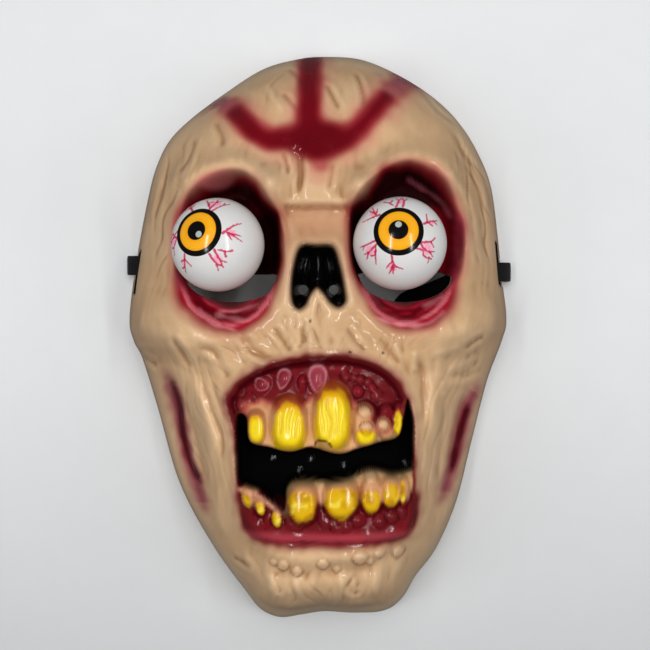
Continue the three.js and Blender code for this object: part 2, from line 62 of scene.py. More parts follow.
OUTLINE = [
    1.5, 135.8, 21, 134.3, 41, 125.6, 58, 114, 70, 101, 78.3, 86.5, 83.5, 72, 86.5, 50, 88.5, 30, 90.9, 9,
    88.6, -2, 81.5, -21, 74, -50, 66.4, -80, 56.7, -102.4, 47, -115.5, 40.2, -126.6, 31.5, -132.6,
    17, -133.7, 2.5, -133, -9, -134.6, -19, -135.8, -28, -132, -35, -123.7, -51.4, -101, -67.4, -71,
    -78.1, -34.5, -85.6, -10.5, -89.8, -2, -91.9, 9.5, -88.3, 38.3, -82.5, 68.8, -78.6, 83, -72.6, 95,
    -62.6, 105.3, -46, 117.8, -27.7, 129.5, -12, 134.3]
SOCKETS = {
    "left": [-36, 74, -27.6, 69.8, -20.6, 60.6, -14.9, 50, -13.8, 38, -14.8, 25, -18.5, 14, -28, 4.8,
        -41, 2.2, -54.5, 8, -62.5, 19, -65.2, 34.5, -64.2, 50, -58.5, 63, -48.5, 71],
    "right": [36, 77, 47, 75, 58, 67.3, 65, 54, 66.6, 41, 63.6, 25.5, 57, 13.3, 45, 4.5, 33.5, 3.6, 22.5, 9,
        16.3, 19, 13.5, 32, 12.3, 45, 14, 58.5, 23, 69.5]}
DOMES = {"left": (-37, 43.5), "right": (38.3, 44)}
SLITS = {"left": (-58.8, -16.3, 28.6, 16), "right": (16.8, 59.3, 29.6, 16)}
NOSE = [
    -7.7, 39.4, -0.5, 40.2, 6.3, 39.4, 9.3, 31.3, 11.4, 20.7, 11.6, 15.5, 8.6, 13.2, 5, 15.2, 2.2, 19,
    -0.5, 21.3, -3.1, 18.6, -5.2, 14.3, -8.2, 12.4, -10.8, 14.7, -11.6, 20.7, -10.7, 30.1]
MOUTH = [
    -39.8, -27, -35, -19, -24, -12.1, -10, -8.3, 5, -7, 18.7, -8.7, 30, -14, 36.8, -22, 40.1, -34, 41, -47.6,
    42.2, -62.5, 43.5, -76.6, 40.5, -85.4, 32.5, -88.7, 3, -89, -24, -88.2, -32.2, -83, -34.7, -71,
    -34.9, -56, -36, -41, -38.3, -34]
JAW_GAP = [
    -35.2, -33.5, -31, -34.6, -29.5, -44.5, -21, -46.8, -12.3, -48.6, -3, -46.6, 8.6, -49.4, 16.8, -47.3,
    26, -44.7, 34.2, -42.5, 36.6, -34.6, 38.6, -26, 41.2, -35.5, 41.4, -46.4, 41.2, -53.8, 40, -57.3,
    32, -58.6, 22.5, -56.4, 14.6, -59.4, 5, -61.2, -8, -60.9, -13, -64, -14.6, -73.6, -18.4, -72.1,
    -24.5, -66.8, -30.6, -64.2, -34.5, -63.2, -35.6, -55, -35.6, -44]
# Teeth as in the solids: middle x and y, half width, half height, rise over the gum.
TEETH = [
    (-26.8, -38.2, 4.4, 8, 4), (-12.5, -36.5, 8.2, 12, 5.5), (6, -34, 8.6, 15, 6.5), (20.4, -37, 6, 10, 5),
    (29.2, -36, 4.2, 8, 4), (35.2, -35, 3.2, 8, 3), (-30.2, -68, 2.8, 4.8, 2.4),
    (-24.9, -72.4, 2.6, 4.2, 2.4), (-17.6, -76.6, 2.4, 4.2, 2.2), (-6.5, -70, 6.8, 9.5, 5.5),
    (9.7, -68, 8, 9.5, 5.5), (23, -67, 5.2, 8.5, 4.6), (31.1, -66, 4.6, 7.6, 4.2), (37, -66, 2.6, 7, 3)]
# Yellow paint on them: middle x and y, half width, half height, corner power, turn, widening towards the top.
TOOTH_PAINT = [
    (-26.6, -38.7, 3.3, 5.8, 2.6, 4, -0.1), (-12.4, -37.5, 6.7, 9.9, 3.0, 0, -0.28),
    (6.2, -34.5, 7.5, 12.5, 2.8, -3, -0.12), (20.1, -41.9, 4.3, 3.2, 2.2, 0, 0),
    (34.1, -36.4, 1.7, 5.3, 2, -4, 0), (-30.8, -69.4, 1.7, 3.9, 2, 14, 0.2),
    (-24.7, -73, 1.6, 2.9, 2, 14, 0.2), (-17.8, -77.2, 1.9, 3.4, 2, 10, 0),
    (-6.9, -71.4, 5.6, 6.6, 2.6, 0, 0.14), (9.7, -70.3, 6.8, 6.8, 2.2, 0, 0.36),
    (22.6, -69.7, 3.8, 4.8, 2.3, 0, 0.3), (31.3, -67.1, 3.5, 4.8, 2.4, 0, 0.1),
    (36.4, -66.1, 1.1, 4.9, 2, 0, 0)]
# Round bumps of the skin: x, y, radius, rise.
WARTS = [
    (-15.3, -97.8, 2.4, 1.9), (-9.2, -100.4, 2.2, 1.7), (2, -96.9, 2.4, 1.7), (18.1, -94.3, 3.2, 2.3),
    (26.7, -93, 2.2, 1.4), (35.4, -94.3, 2.6, 1.8), (19.6, -31.2, 2.6, 2), (20.4, -38, 2.6, 2.2),
    (27.7, -36.7, 2.2, 1.8), (16.8, -22.6, 2.6, 1.6), (22.4, -58.8, 2.6, 2.6), (-19.5, -96.8, 1.6, 0.9),
    (8, -99.5, 1.5, 0.8), (22.5, -96.5, 1.6, 0.9), (-24.2, -20, 2.2, 0.9), (-14.2, -16.9, 2.4, 1.0),
    (-6.9, -18.1, 1.8, 0.8), (11.9, -16, 2, 0.9), (17.9, -17.8, 1.8, 0.8), (23.1, -21.2, 1.8, 0.8),
    (-34, -28.5, 2.4, 1.0)]
# Broad forms: middle x and y, reach along and across, turn in degrees, rise.
HILLS = [
    (-30, 100, 34, 26, 20, 3), (32, 102, 34, 26, -20, 3), (-70, 75, 15, 48, -12, -5),
    (72, 70, 15, 52, 10, -5), (-20, 66, 12, 10, 40, 4), (18, 65, 13, 9, -35, 3.5), (-1, 66, 12, 16, 0, 3),
    (-68, 5, 30, 17, -12, 11), (69, 8, 30, 17, 10, 11), (-50, -4, 26, 13, -15, 5), (52, -2, 26, 13, 12, 5),
    (-64, -48, 20, 50, 18, -13), (65, -48, 20, 50, -15, -13), (2, -50, 62, 66, 0, 8), (2, -2, 22, 18, 0, 4),
    (1.5, -108, 44, 26, 0, 12), (-14, -114, 20, 14, 0, 2.5), (18, -114, 20, 14, 0, 2.5)]
# Long forms as in the solids: rise, half width, share tapered at each end, path.
STROKES = [
    (7, 8, 0.2, [-9, 58, -20, 65.5, -31, 72.5, -45, 75, -58, 69, -66, 58]),
    (7, 8, 0.2, [8, 58, 19, 64, 31, 73, 43, 79, 57, 75, 66, 62]),
    (2.2, 3.2, 0.2, [-28, -93, -10, -94.5, 12, -94, 34, -93]),
    (-2, 3.5, 0.25, [-26, -101, -8, -102.5, 10, -101, 32, -99.5]),
    (-3, 2.6, 0.3, [-66.3, -21.3, -58.1, -37.2, -52.3, -59.8, -48.2, -72.4]),
    (-3, 2.6, 0.3, [68.5, -23.6, 64.8, -41.7, 61.7, -62]),
    (-2.4, 2.2, 0.3, [-10.5, 84.5, -7.9, 72.5, -8.7, 61]),
    (2.2, 3.4, 0.3, [51, 91, 53, 77, 60, 68, 68, 62, 70.5, 43, 75.5, 24]),
    (2.0, 3.4, 0.3, [-55.5, 94, -57.5, 80, -65, 70, -72, 61, -76.5, 50]),
    (2.2, 3.2, 0.3, [-54, -14, -50.8, -31, -47, -45, -50.5, -60]),
    (2.2, 3.2, 0.3, [50.3, 2, 53, -10.5, 50.5, -27, 51.5, -50])]
# Fine wrinkles: rise (below zero a crease with raised lips), half width, path.
WRINKLES = [
    (-1.1, 1.0, [-9, 82.5, -7.7, 78, -7.4, 70, -8.8, 60]),
    (-0.9, 0.9, [-15.6, 81.5, -13.6, 75.7, -12.8, 69.5]), (-0.6, 1.0, [6.3, 76.5, 5.7, 69.7, 4.7, 63]),
    (-1.2, 1.3, [2.2, 115.6, 6.4, 106.6, 9.4, 99]),
    (-1.2, 1.3, [16.2, 123, 18.9, 113.1, 20, 105.9, 19.2, 98.5]),
    (-1.0, 1.2, [-16.5, 109.6, -13.1, 105.3, -9, 99.8]),
    (-1.1, 1.3, [-14.9, 126.4, -9.5, 118.7, -5.6, 113.8]), (1.2, 2.0, [-26.2, 118, -19.6, 106.3, -14.6, 98]),
    (0.9, 2.4, [27, 124, 27.5, 113, 31, 103]), (-1.2, 1.6, [-56, 93, -57.4, 80.4, -63.9, 71.7]),
    (-1.0, 1.5, [-69.7, 76.5, -73.4, 63.6, -76.4, 53.6]),
    (-1.0, 1.6, [-47.5, 98.9, -42.7, 89.5, -42.2, 82.4]), (-1.0, 1.6, [48.5, 119.6, 55.5, 105.9, 67.5, 101]),
    (-1.1, 1.6, [74.1, 83.6, 80.1, 69.7, 82.1, 58]), (-1.1, 1.5, [68.2, 59.4, 69.8, 43, 73.4, 30]),
    (-1.1, 1.6, [61.9, 97.3, 66.1, 86.6, 74.5, 77.4]),
    (1.3, 1.9, [37.7, 73.1, 50.7, 67, 59.4, 57.9, 62.2, 49.9]),
    (-0.8, 1.1, [62.1, 52.5, 62.3, 42, 62.5, 33.8]), (-1.1, 1.5, [-84.5, -9.1, -73.9, -13.2]),
    (-1.0, 1.5, [-63.6, -1.1, -56, -12.7]), (-1.0, 1.5, [62.9, -19, 77.7, -14.4]),
    (-1.3, 1.5, [-51.4, -16.5, -47.4, -27.9, -44.7, -34.9, -41.8, -43.3, -41.9, -54]),
    (-1.1, 1.3, [-47, -17.5, -42.7, -29, -39.6, -37]), (-1.2, 1.4, [-64.5, 1.5, -59.2, -5, -55.4, -14.5]),
    (-1.1, 1.5, [-54, -3.8, -45.3, -5.4, -41.9, -12.7, -36.8, -18]),
    (1.0, 1.8, [-50, -8.6, -43.6, -10, -40, -17.4]), (-1.0, 1.3, [-33.4, -3.6, -26.5, -6.6, -20, -9.4]),
    (-1.2, 1.3, [63.4, -5.4, 70.1, -0.8, 75, 1]),
    (-1.3, 1.8, [55, -18.4, 60, -16.8, 65.9, -15.6, 75.4, -10.2]),
    (1.1, 2.0, [47.5, -7.2, 55.4, -5.8, 63.6, -3]), (1.0, 1.7, [40.8, -4.5, 41.9, -15]),
    (0.9, 1.6, [54.9, -18, 55.3, -27]), (-1.3, 1.7, [43.2, -5.8, 45.5, -22.9, 44.6, -39.8]),
    (-1.1, 1.7, [57.5, -27.8, 55, -50.8, 53.3, -69.1]), (-1.0, 1.5, [-35.1, 2.4, -26.1, -4.9, -16.6, -9.4]),
    (-0.8, 1.2, [-7.7, 5.8, -5.1, -2.6]), (-0.9, 1.3, [-19.6, 5.4, -13.6, -2.7, -11, -7.3]),
    (-0.9, 1.3, [12, 6, 16, -1, 21, -6]), (-0.9, 1.3, [26, 1, 31, -6, 37, -12]),
    (-1.0, 1.5, [-40.3, -100.4, -29.2, -102.4]), (-1.2, 2.0, [-19, -100, -17, -106, -17.5, -113]),
    (-0.8, 1.3, [14, -103, 13.4, -108, 15.6, -111.8, 19.4, -110.6]),
    (-0.9, 1.6, [-60, -35, -62, -50, -58, -66]), (1.0, 2.4, [-43, -62, -45, -78, -41, -92]),
    (1.0, 2.4, [50, -56, 51, -72, 46, -88])]
# Patches of close creases: middle x and y, reach, turn, closeness across and along, lean, depth, seed.
CREASED = [
    (-52, -38, 26, 52, 12, 1.3, 0.14, -0.2, 0.6, 61), (53, -38, 24, 52, -12, 1.3, 0.14, 0.2, 0.6, 62),
    (-70, 62, 22, 60, 0, 1.0, 0.22, 0.2, 1.0, 63), (72, 66, 22, 60, 0, 1.0, 0.22, -0.25, 1.1, 64),
    (-30, -3, 26, 14, 20, 0.8, 0.5, -0.6, 0.4, 65), (32, -2, 26, 14, -20, 0.8, 0.5, 0.6, 0.35, 66),
    (0, 0, 18, 12, 0, 1.2, 0.4, 0.1, 0.5, 70), (-24, 112, 40, 26, 0, 0.6, 0.2, 0.3, 0.35, 74),
    (26, 114, 40, 26, 0, 0.6, 0.2, -0.3, 0.35, 75), (2, -112, 44, 20, 0, 0.9, 0.4, 0, 0.6, 69)]
# Small lumps of the gums, lids, cheeks and chin: middle x and y, reach along and across, turn, rise.
LUMPS = [
    (-0.2, -17.4, 4, 6.4, 0, 1.5), (-15, -17.3, 3.4, 5.2, -15, 1.2), (-24.2, -19.8, 3.6, 4.6, -30, 1.1),
    (-6.8, -18.9, 2, 3.4, 0, 1), (9, -12.8, 4.5, 2.6, 10, 0.8), (11.8, -17, 1.7, 1.9, 0, 0.7),
    (15, -16.8, 1.7, 1.9, 0, 0.7), (18.3, -17.2, 1.7, 1.9, 0, 0.7), (21.2, -18.6, 1.7, 1.9, 0, 0.7),
    (29, -28, 3.6, 4.2, 0, 1.1), (33.5, -31, 2.4, 3, 0, 0.8), (25, -24.5, 2.6, 3, 0, 0.8),
    (-30.2, -27.4, 3, 3.8, 0, 1.2), (-35, -23.8, 3, 3, 0, 1), (-34, -30, 2.2, 2.6, 0, 0.8),
    (2.5, -77.5, 2.4, 4.6, 12, 1.2), (6.9, -79.7, 2.2, 4.4, 35, 1.1), (11.6, -80.6, 3, 2.4, 0, 0.9),
    (16.9, -77.5, 3, 3, 0, 1.4), (26.5, -78.6, 2.5, 2.9, 0, 1.3), (31.9, -76.7, 2.5, 2.9, 0, 1.3),
    (36.3, -75, 2.1, 3.2, 0, 1.1), (-9.8, -80, 3.4, 2.6, 0, 0.8), (-27.8, -71.8, 1.5, 4.4, -18, 0.9),
    (-21.4, -77, 1.6, 4.4, -15, 0.9), (-12.6, -76.8, 1.5, 3.8, 0, 0.8), (-27, -80, 4, 3, -30, 0.8),
    (22, -84, 6, 2.2, 0, 0.5), (-6, -84.6, 8, 2, 0, 0.5), (33, -82.6, 4, 2.4, 20, 0.6),
    (-21, -107, 5.4, 10, 8, 1.9), (-9, -106, 3, 10, 10, 1.4), (-2.5, -104, 2.6, 8, -8, 1.1),
    (17, -107, 4.2, 5.4, 0, -1.5), (26, -107, 4, 10, -16, 1.6), (6, -113, 5, 6, 0, 0.9),
    (-29, -103, 3.4, 8, 25, 1.3), (36, -102, 3, 7, -20, 1.2), (10, -104, 3, 6, -10, 1),
    (-14, -120, 8, 4, 0, 0.8), (18, -119, 8, 4, 0, 0.8), (-16, 9, 4, 8, 35, 0.6), (20, 3, 4, 8, -35, 0.6),
    (31, -3, 3, 7, 40, 0.4), (-21, 66, 3, 5, -35, 0.7), (-3.5, -1, 2, 6, 0, 0.7), (3, 1, 2, 7, 5, 0.7),
    (8.5, -1.5, 2.2, 5, -5, 0.6), (-10, -1, 2.2, 6, 10, 0.7)]
# Ripples across the walls and lids of the sockets, in the same columns.
FOLDS = [
    (60.6, 52.5, 2.4, 1.2, -20, 0.9), (61.6, 48, 2.6, 1.3, -10, 1), (61.2, 43.5, 2.6, 1.2, 0, 1),
    (61.4, 38.6, 2.8, 1.4, 10, 1.1), (60.8, 33.6, 2.4, 1.2, 20, 1), (59.5, 28.5, 2.4, 1.2, 25, 0.9),
    (-40, 12.5, 8, 1.5, 8, 0.7), (-30, 12, 6, 1.4, 22, 0.9), (-47, 9.5, 6, 1.3, -35, 0.8),
    (-36, 8, 7, 1.4, 0, 0.7), (30, 12.5, 4, 1.4, -12, 0.8), (38, 10.8, 4, 1.3, 4, 0.9),
    (47, 13, 6, 1.4, 32, 0.9), (37, 6.8, 5, 1.3, 0, 0.7)]
# Edge of the crimson paint of each socket.
SOCKET_PAINT = {
    "left": [-37, 71.5, -31, 71, -26.4, 67.5, -22.4, 61.5, -18.9, 58, -15.9, 54.5, -14.9, 49.5, -14.4, 35.1,
        -14.9, 27.6, -16.9, 22.6, -18.9, 16.2, -21.9, 9.7, -26.9, 5.7, -31.9, 2.7, -37.9, 2.2, -44.8, 3.7,
        -49.8, 6.7, -54.8, 10.2, -59.8, 13.7, -62.5, 18.6, -63.3, 25.1, -63.5, 35, -64, 46, -63, 54.5,
        -59.5, 59.4, -55.9, 62.8, -51.7, 66.4, -45.5, 69.6],
    "right": [12.6, 57.1, 16.3, 60.2, 19.9, 62.3, 22, 66.5, 24.7, 70.7, 27.3, 73.9, 31.5, 76, 37.8, 76.8,
        44.2, 76, 49.4, 73.9, 54.2, 69.7, 57.8, 64.4, 61, 59.2, 63.6, 54.4, 64.9, 49.2, 64.9, 43.9,
        64.2, 37.1, 63.1, 30.2, 61, 23.9, 59.4, 17.6, 56.8, 12.3, 52.6, 8.1, 46.3, 4.4, 39.9, 3.1,
        33.1, 3.9, 27.3, 7, 22.6, 11.3, 18.9, 17.6, 15.7, 23.4, 13.1, 29.2, 12, 37.1, 11.8, 45, 11.8, 52.3]}
# Paint of the forehead: half width, path; first the pale spread to the rim, then the full crimson.
SPREAD = [
    (4.6, [-4.5, 150, -4.2, 129.6, -3.7, 112.2, -4.3, 100.8, -2.6, 89.7]),
    (4.4, [-40, 105, -33, 97, -27, 91, -20.5, 87, -12.2, 87.5, -0.1, 86]),
    (4.6, [48, 130, 38, 117, 30.2, 107.6, 22.4, 97.3, 15.9, 89.7, 8.9, 85.6, -0.1, 85.1]),
    (2, [0.2, 82, 0.6, 75])]
FULL = [
    (4.5, [-4.2, 131, -3.9, 112.2, -4.1, 100.8, -2.4, 88]),
    (4.2, [-37.2, 101, -33.2, 95.9, -27, 89.6, -20.5, 86.4, -12.2, 86.6, -0.1, 86]),
    (3.5, [29.6, 107, 22.4, 97.3, 15.9, 89.9, 8.9, 86, -0.1, 85.1]), (5.4, [-5, 87, 0, 86, 6, 87]),
    (2, [-0.6, 84, -0.4, 81])]
# Painted highlights along the crests of the lower lids: half width, path.
CREST_HIGHLIGHTS = [
    (0.5, [-52.1, 12.7, -46, 6.6, -40, 4.8, -35.6, 3.6]), (0.5, [-42.8, 12.1, -35.3, 12.1, -25.8, 15.1]),
    (0.8, [-44.4, 10.3, -39.4, 9, -33.5, 8.4]), (0.5, [46, 14, 50.9, 16.4, 54.6, 18.9]),
    (0.7, [24.6, 9, 31.2, 6.6, 39.1, 5.4, 47.5, 6.6, 53.8, 11.4])]
# Cheek wounds, each as the line of its soft edge and the line of its dark cut.
WOUNDS = [
    ([-68.8, -19, -67, -26.1, -65.2, -35.5, -62.8, -47.2, -60, -59.4, -56.3, -68, -53, -78], [-66.4, -21,
        -64.2, -31.3, -63.4, -43.9, -60.6, -56.2, -54.6, -66]),
    ([74, -24.5, 69.2, -33.5, 67.4, -42.9, 65.2, -53.8, 61, -63.9, 58, -73], [69.7, -32.6, 68.2, -38.2,
        66.5, -45.2, 64.8, -52.2, 62.3, -61.9])]
# Glints in the black of the mouth: raised, glossy, and painted with a grey highlight.
SPARKS = [(-8.6, -58.1), (11.3, -55.9), (-3.3, -53.2), (38.4, -55.2), (-20.4, -52.8)]
# Grooves down the teeth: x, top, foot, depth.
GROOVES = [
    (-15.6, -29, -45, 0.6), (-12.2, -27, -42, 0.4), (-9.2, -30, -46, 0.6), (1.6, -24, -42, 0.5),
    (5, -22, -46, 0.7), (8, -23, -44, 0.5), (11.2, -25, -44, 0.6), (-27.6, -34, -43, 0.3)]
# Sides of the band: sign of x, y of its middle, start and end of the slot in y, reach of the rim.
SIDES = [
    {"sign": -1, "y": 34.4, "slot": (21.1, 40.5), "rim": 88.8},
    {"sign": 1, "y": 31.2, "slot": (25.2, 44.7), "rim": 88.4}]
# Mauve ends of the forehead's paint: half width, path. Then the line of a painted highlight along the pink
# ridge over the right eye, and the lip of the lower jaw.
MAUVE_ENDS = [
    (2.6, [-57.1, 108.1, -50.6, 109.4, -43.5, 112.2]), (3.6, [-50, 112, -41, 106.5]),
    (4.2, [34.5, 113.5, 40.9, 124.6, 46.5, 120.2])]
RIDGE = [40, 71, 46.3, 67.5, 51.5, 64.2, 55.9, 59.7, 59, 54]
JAW_LIP = [-34.4, -65.4, -27, -67.6, -20.4, -71.8, -16.4, -75]
# Drops on the upper gum: middle x and y, half width, half height, turn, share of pink.
DROPS = [(-0.2, -17.2, 3.6, 5.8, 0, 0.6), (-15, -17.3, 2.6, 4.4, -15, 0.35), (-24.6, -20, 3, 2.6, -35, 0.2)]
# Dark pits in the skin.
PITS = [(-3.4, 7.5), (13.4, -5.6), (27.6, -6.1)]
# Paints, from 0 to 255.
SKIN, SKIN_PALE, SKIN_DARK, PLAIN = (204, 166, 125), (222, 190, 152), (158, 116, 78), (208, 176, 138)
RIM_SHEEN, RIM_PALE, BRIDGE_SHADE = (188, 164, 140), (222, 194, 158), (182, 124, 96)
CHEEK_LIGHT, CHEEK_BROWN, HAZE, MAUVE = (226, 188, 146), (176, 132, 94), (204, 132, 114), (150, 72, 92)
CRIMSON, DEEP, GLAZE, RUBY = (108, 4, 18), (30, 5, 7), (168, 58, 66), (146, 24, 40)
OXBLOOD, BRUISE, BLACK = (70, 3, 12), (158, 84, 92), (7, 6, 6)
FLESH, FLESH_PINK, OUTLINE_PINK = (208, 160, 112), (186, 92, 78), (212, 132, 142)
SATIN, MATT, PLASTIC_ROUGHNESS = 0.45, 0.12, 0.16


def smooth(t):
    """Eases from 0 to 1: three t squared less two t cubed."""
    t = np.clip(t, 0, 1)
    return t * t * (3 - 2 * t)


def ease(v, over):
    """Eases from 0 to 1 while v goes from 0 to the given length."""
    return smooth(v / over)


def bell(t):
    """One at zero, falling off as the exponential of minus t squared."""
    return np.exp(-t * t)


def mix(a, b, share):
    """Goes straight from a to b by the given share."""
    return a + (b - a) * share


def ends(share, taper):
    """Eases up from one end of a line and down to the other."""
    return ease(share, taper) * ease(1 - share, taper)


def curve(points, closed=False, steps=6, axes=2):
    """Smooth line through the points: between each two a cubic with slopes from the points beside them."""
    p = np.reshape(points, (-1, axes)).astype(float)
    n = len(p)
    i = np.arange(n if closed else n - 1)
    if closed:
        a, b, c, d = p[i - 1], p[i], p[(i + 1) % n], p[(i + 2) % n]
    else:
        longer = np.vstack([2 * p[0] - p[1], p, 2 * p[-1] - p[-2]])
        a, b, c, d = longer[i], longer[i + 1], longer[i + 2], longer[i + 3]
    t = np.arange(steps)[None, :, None] / steps
    a, b, c, d = (v[:, None, :] for v in (a, b, c, d))
    line = 0.5 * (2 * b + (c - a) * t + (2 * a - 5 * b + 4 * c - d) * t**2 + (3 * b - a - 3 * c + d) * t**3)
    line = line.reshape(-1, axes)
    return line if closed else np.vstack([line, p[-1:]])


def to_line(x, y, line, closed=False, reach=1e6):
    """Distance to the nearest piece of a line, the share of the way along it, and whether a closed line holds
    the point. Points farther off than reach keep a distance of reach."""
    far, share, inside = np.full(x.shape, float(reach)), np.zeros(x.shape), np.zeros(x.shape, bool)
    (left, low), (right, high) = line.min(0) - reach, line.max(0) + reach
    close = (x > left) & (x < right) & (y > low) & (y < high)
    px, py = x[close], y[close]
    ends = np.roll(line, -1, 0) if closed else line[1:]
    starts = line if closed else line[:-1]
    lengths = np.hypot(*(ends - starts).T)
    best, way = np.full(px.shape, float(reach) ** 2), np.zeros(px.shape)
    held, done = np.zeros(px.shape, bool), 0.0
    for (ax, ay), (bx, by), size in zip(starts, ends, lengths):
        dx, dy = bx - ax, by - ay
        t = np.clip(((px - ax) * dx + (py - ay) * dy) / max(size * size, 1e-12), 0, 1)
        off = (px - ax - t * dx) ** 2 + (py - ay - t * dy) ** 2
        nearer = off < best
        best = np.where(nearer, off, best)
        way = np.where(nearer, (done + t * size) / lengths.sum(), way)
        if closed:
            held ^= ((ay > py) != (by > py)) & (px < ax + (py - ay) * dx / (dy if dy else 1e-12))
        done += size
    far[close], share[close], inside[close] = np.sqrt(best), way, held
    return far, share, inside


def depth_in(x, y, points):
    """Distance to a closed smooth line, above zero inside it and below zero outside, 30 mm at the most."""
    far, _, inside = to_line(x, y, curve(points, True), True, 30)
    return np.where(inside, far, -far)


def turned(x, y, cx, cy, turn):
    """Coordinates about a middle, along axes turned by the given degrees."""
    c, s = np.cos(np.radians(turn)), np.sin(np.radians(turn))
    u, v = x - cx, y - cy
    return u * c + v * s, v * c - u * s


def hill(x, y, cx, cy, rx, ry, turn=0.0):
    """Round rise on a turned ellipse: one in the middle, falling to zero at its edge."""
    u, v = turned(x, y, cx, cy, turn)
    return np.clip(1 - ((u / rx) ** 2 + (v / ry) ** 2), 0, 1) ** 2


def oval(x, y, cx, cy, rx, ry, power=2, turn=0.0, widening=0.0):
    """Distance measure of a rounded box: one on its edge, less inside. It can widen towards the top."""
    u, v = turned(x, y, cx, cy, turn)
    across, along = u / rx, v / ry
    across = across / np.clip(1 + widening * along, 0.3, 2)
    return (np.abs(across) ** power + np.abs(along) ** power) ** (1 / power)


def drift(x, y, size, seed):
    """Slow wander from about -1 to 1: nine sine waves of about the given size in seeded directions."""
    rng = np.random.default_rng(seed)
    total = np.zeros_like(x)
    for _ in range(9):
        turn, phase = rng.uniform(0, 2 * np.pi), rng.uniform(0, 2 * np.pi)
        length = size * rng.uniform(0.6, 1.7)
        total += np.sin((x * np.cos(turn) + y * np.sin(turn)) * 2 * np.pi / length + phase)
    return total / 4


def rim_reach(angle):
    """How far the outline is from the pole in each direction."""
    loop = curve(OUTLINE, True, 8) - np.array(POLE)
    at = np.arctan2(loop[:, 1], loop[:, 0])
    order = np.argsort(at)
    return np.interp(angle, at[order], np.hypot(*loop.T)[order], period=2 * np.pi)


def inset(x, y):
    """Distance in from the rim along the ray from the pole, and the rim's own distance on that ray."""
    reach = rim_reach(np.arctan2(y - POLE[1], x - POLE[0]))
    return np.clip(reach - np.hypot(x - POLE[0], y - POLE[1]), 0, None), reach


def face_height(x, y):
    """Height of the outer face. A side wall that rises as one less an exponential of the way in from the rim,
    and a shallow dome over all; on it the hills and strokes, then the sockets, nose and mouth pressed into it
    by easing to their floors, and the lids, domes, teeth and bumps on those."""
    d, reach = inset(x, y)
    rho = 1 - d / reach
    z = WALL_RISE * (1 - np.exp(-d / WALL_REACH)) + CROWN_RISE * np.clip(1 - rho * rho, 0, 1)
    raised = sum(rise * hill(x, y, *place) for *place, rise in HILLS)
    for rise, width, taper, path in STROKES:
        far, share, _ = to_line(x, y, curve(path), reach=4 * width)
        raised = raised + rise * bell(far / width) * ends(share, taper)
    z = z + raised * ease(d, 14)
    z = z - 5.5 * ease(17 - np.abs(x + 0.5), 5) * ease(59 - y, 3.5) * ease(y - 30, 24)

    low = ease(32 - y, 18)
    for side, edge in SOCKETS.items():
        e = depth_in(x, y, edge)
        z = z + 1.6 * bell((e + 2) / 3.5)
        z = mix(z, FLOOR_Z + 3 * low, ease(e, 9 + 10 * low))
        z = z + low * ease(e + 2, 3) * (2.2 * bell((e - 4) / 2) + 2.4 * bell((e - 10.5) / 1.9))
        cx, cy = DOMES[side]
        r = np.hypot(x - cx, y - cy)
        ball = (DOME_REACH**2 + DOME_RISE**2) / (2 * DOME_RISE)
        dome = FLOOR_Z + DOME_RISE - ball + np.sqrt(np.clip(ball**2 - r**2, 0, None))
        z = np.where(r < DOME_REACH, np.maximum(z, dome), z)

    e = depth_in(x, y, NOSE)
    z = z + 2.2 * bell((e + 1.5) / 3.2)
    nostrils = sum(hill(x, y, *middle, 5, 9) for middle in NOSTRILS)
    z = mix(z, 60 + 4.5 * bell(x / 2.6) * ease(y - 22, 8) - 4 * nostrils, ease(e, 4.5))

    e = depth_in(x, y, MOUTH)
    z = z + 2 * bell((e + 1.5) / 3.5)
    z = mix(z, 74 - 10 * ((x - 3) / 40) ** 2, ease(e, 4))
    for tx, ty, rx, ry, rise in TEETH:
        q = np.abs((x - tx) / rx) ** 2.6 + np.abs((y - ty) / ry) ** 2.6
        z = z + rise * ease(1.15 - q, 0.9)
    z = mix(z, 57 - 6 * ((x - 3) / 40) ** 2, ease(depth_in(x, y, JAW_GAP) + 0.5, 3))
    for wx, wy, r, rise in WARTS:
        z = z + rise * np.sqrt(np.clip(1 - ((x - wx) ** 2 + (y - wy) ** 2) / (r * r), 0, 1))
    return z


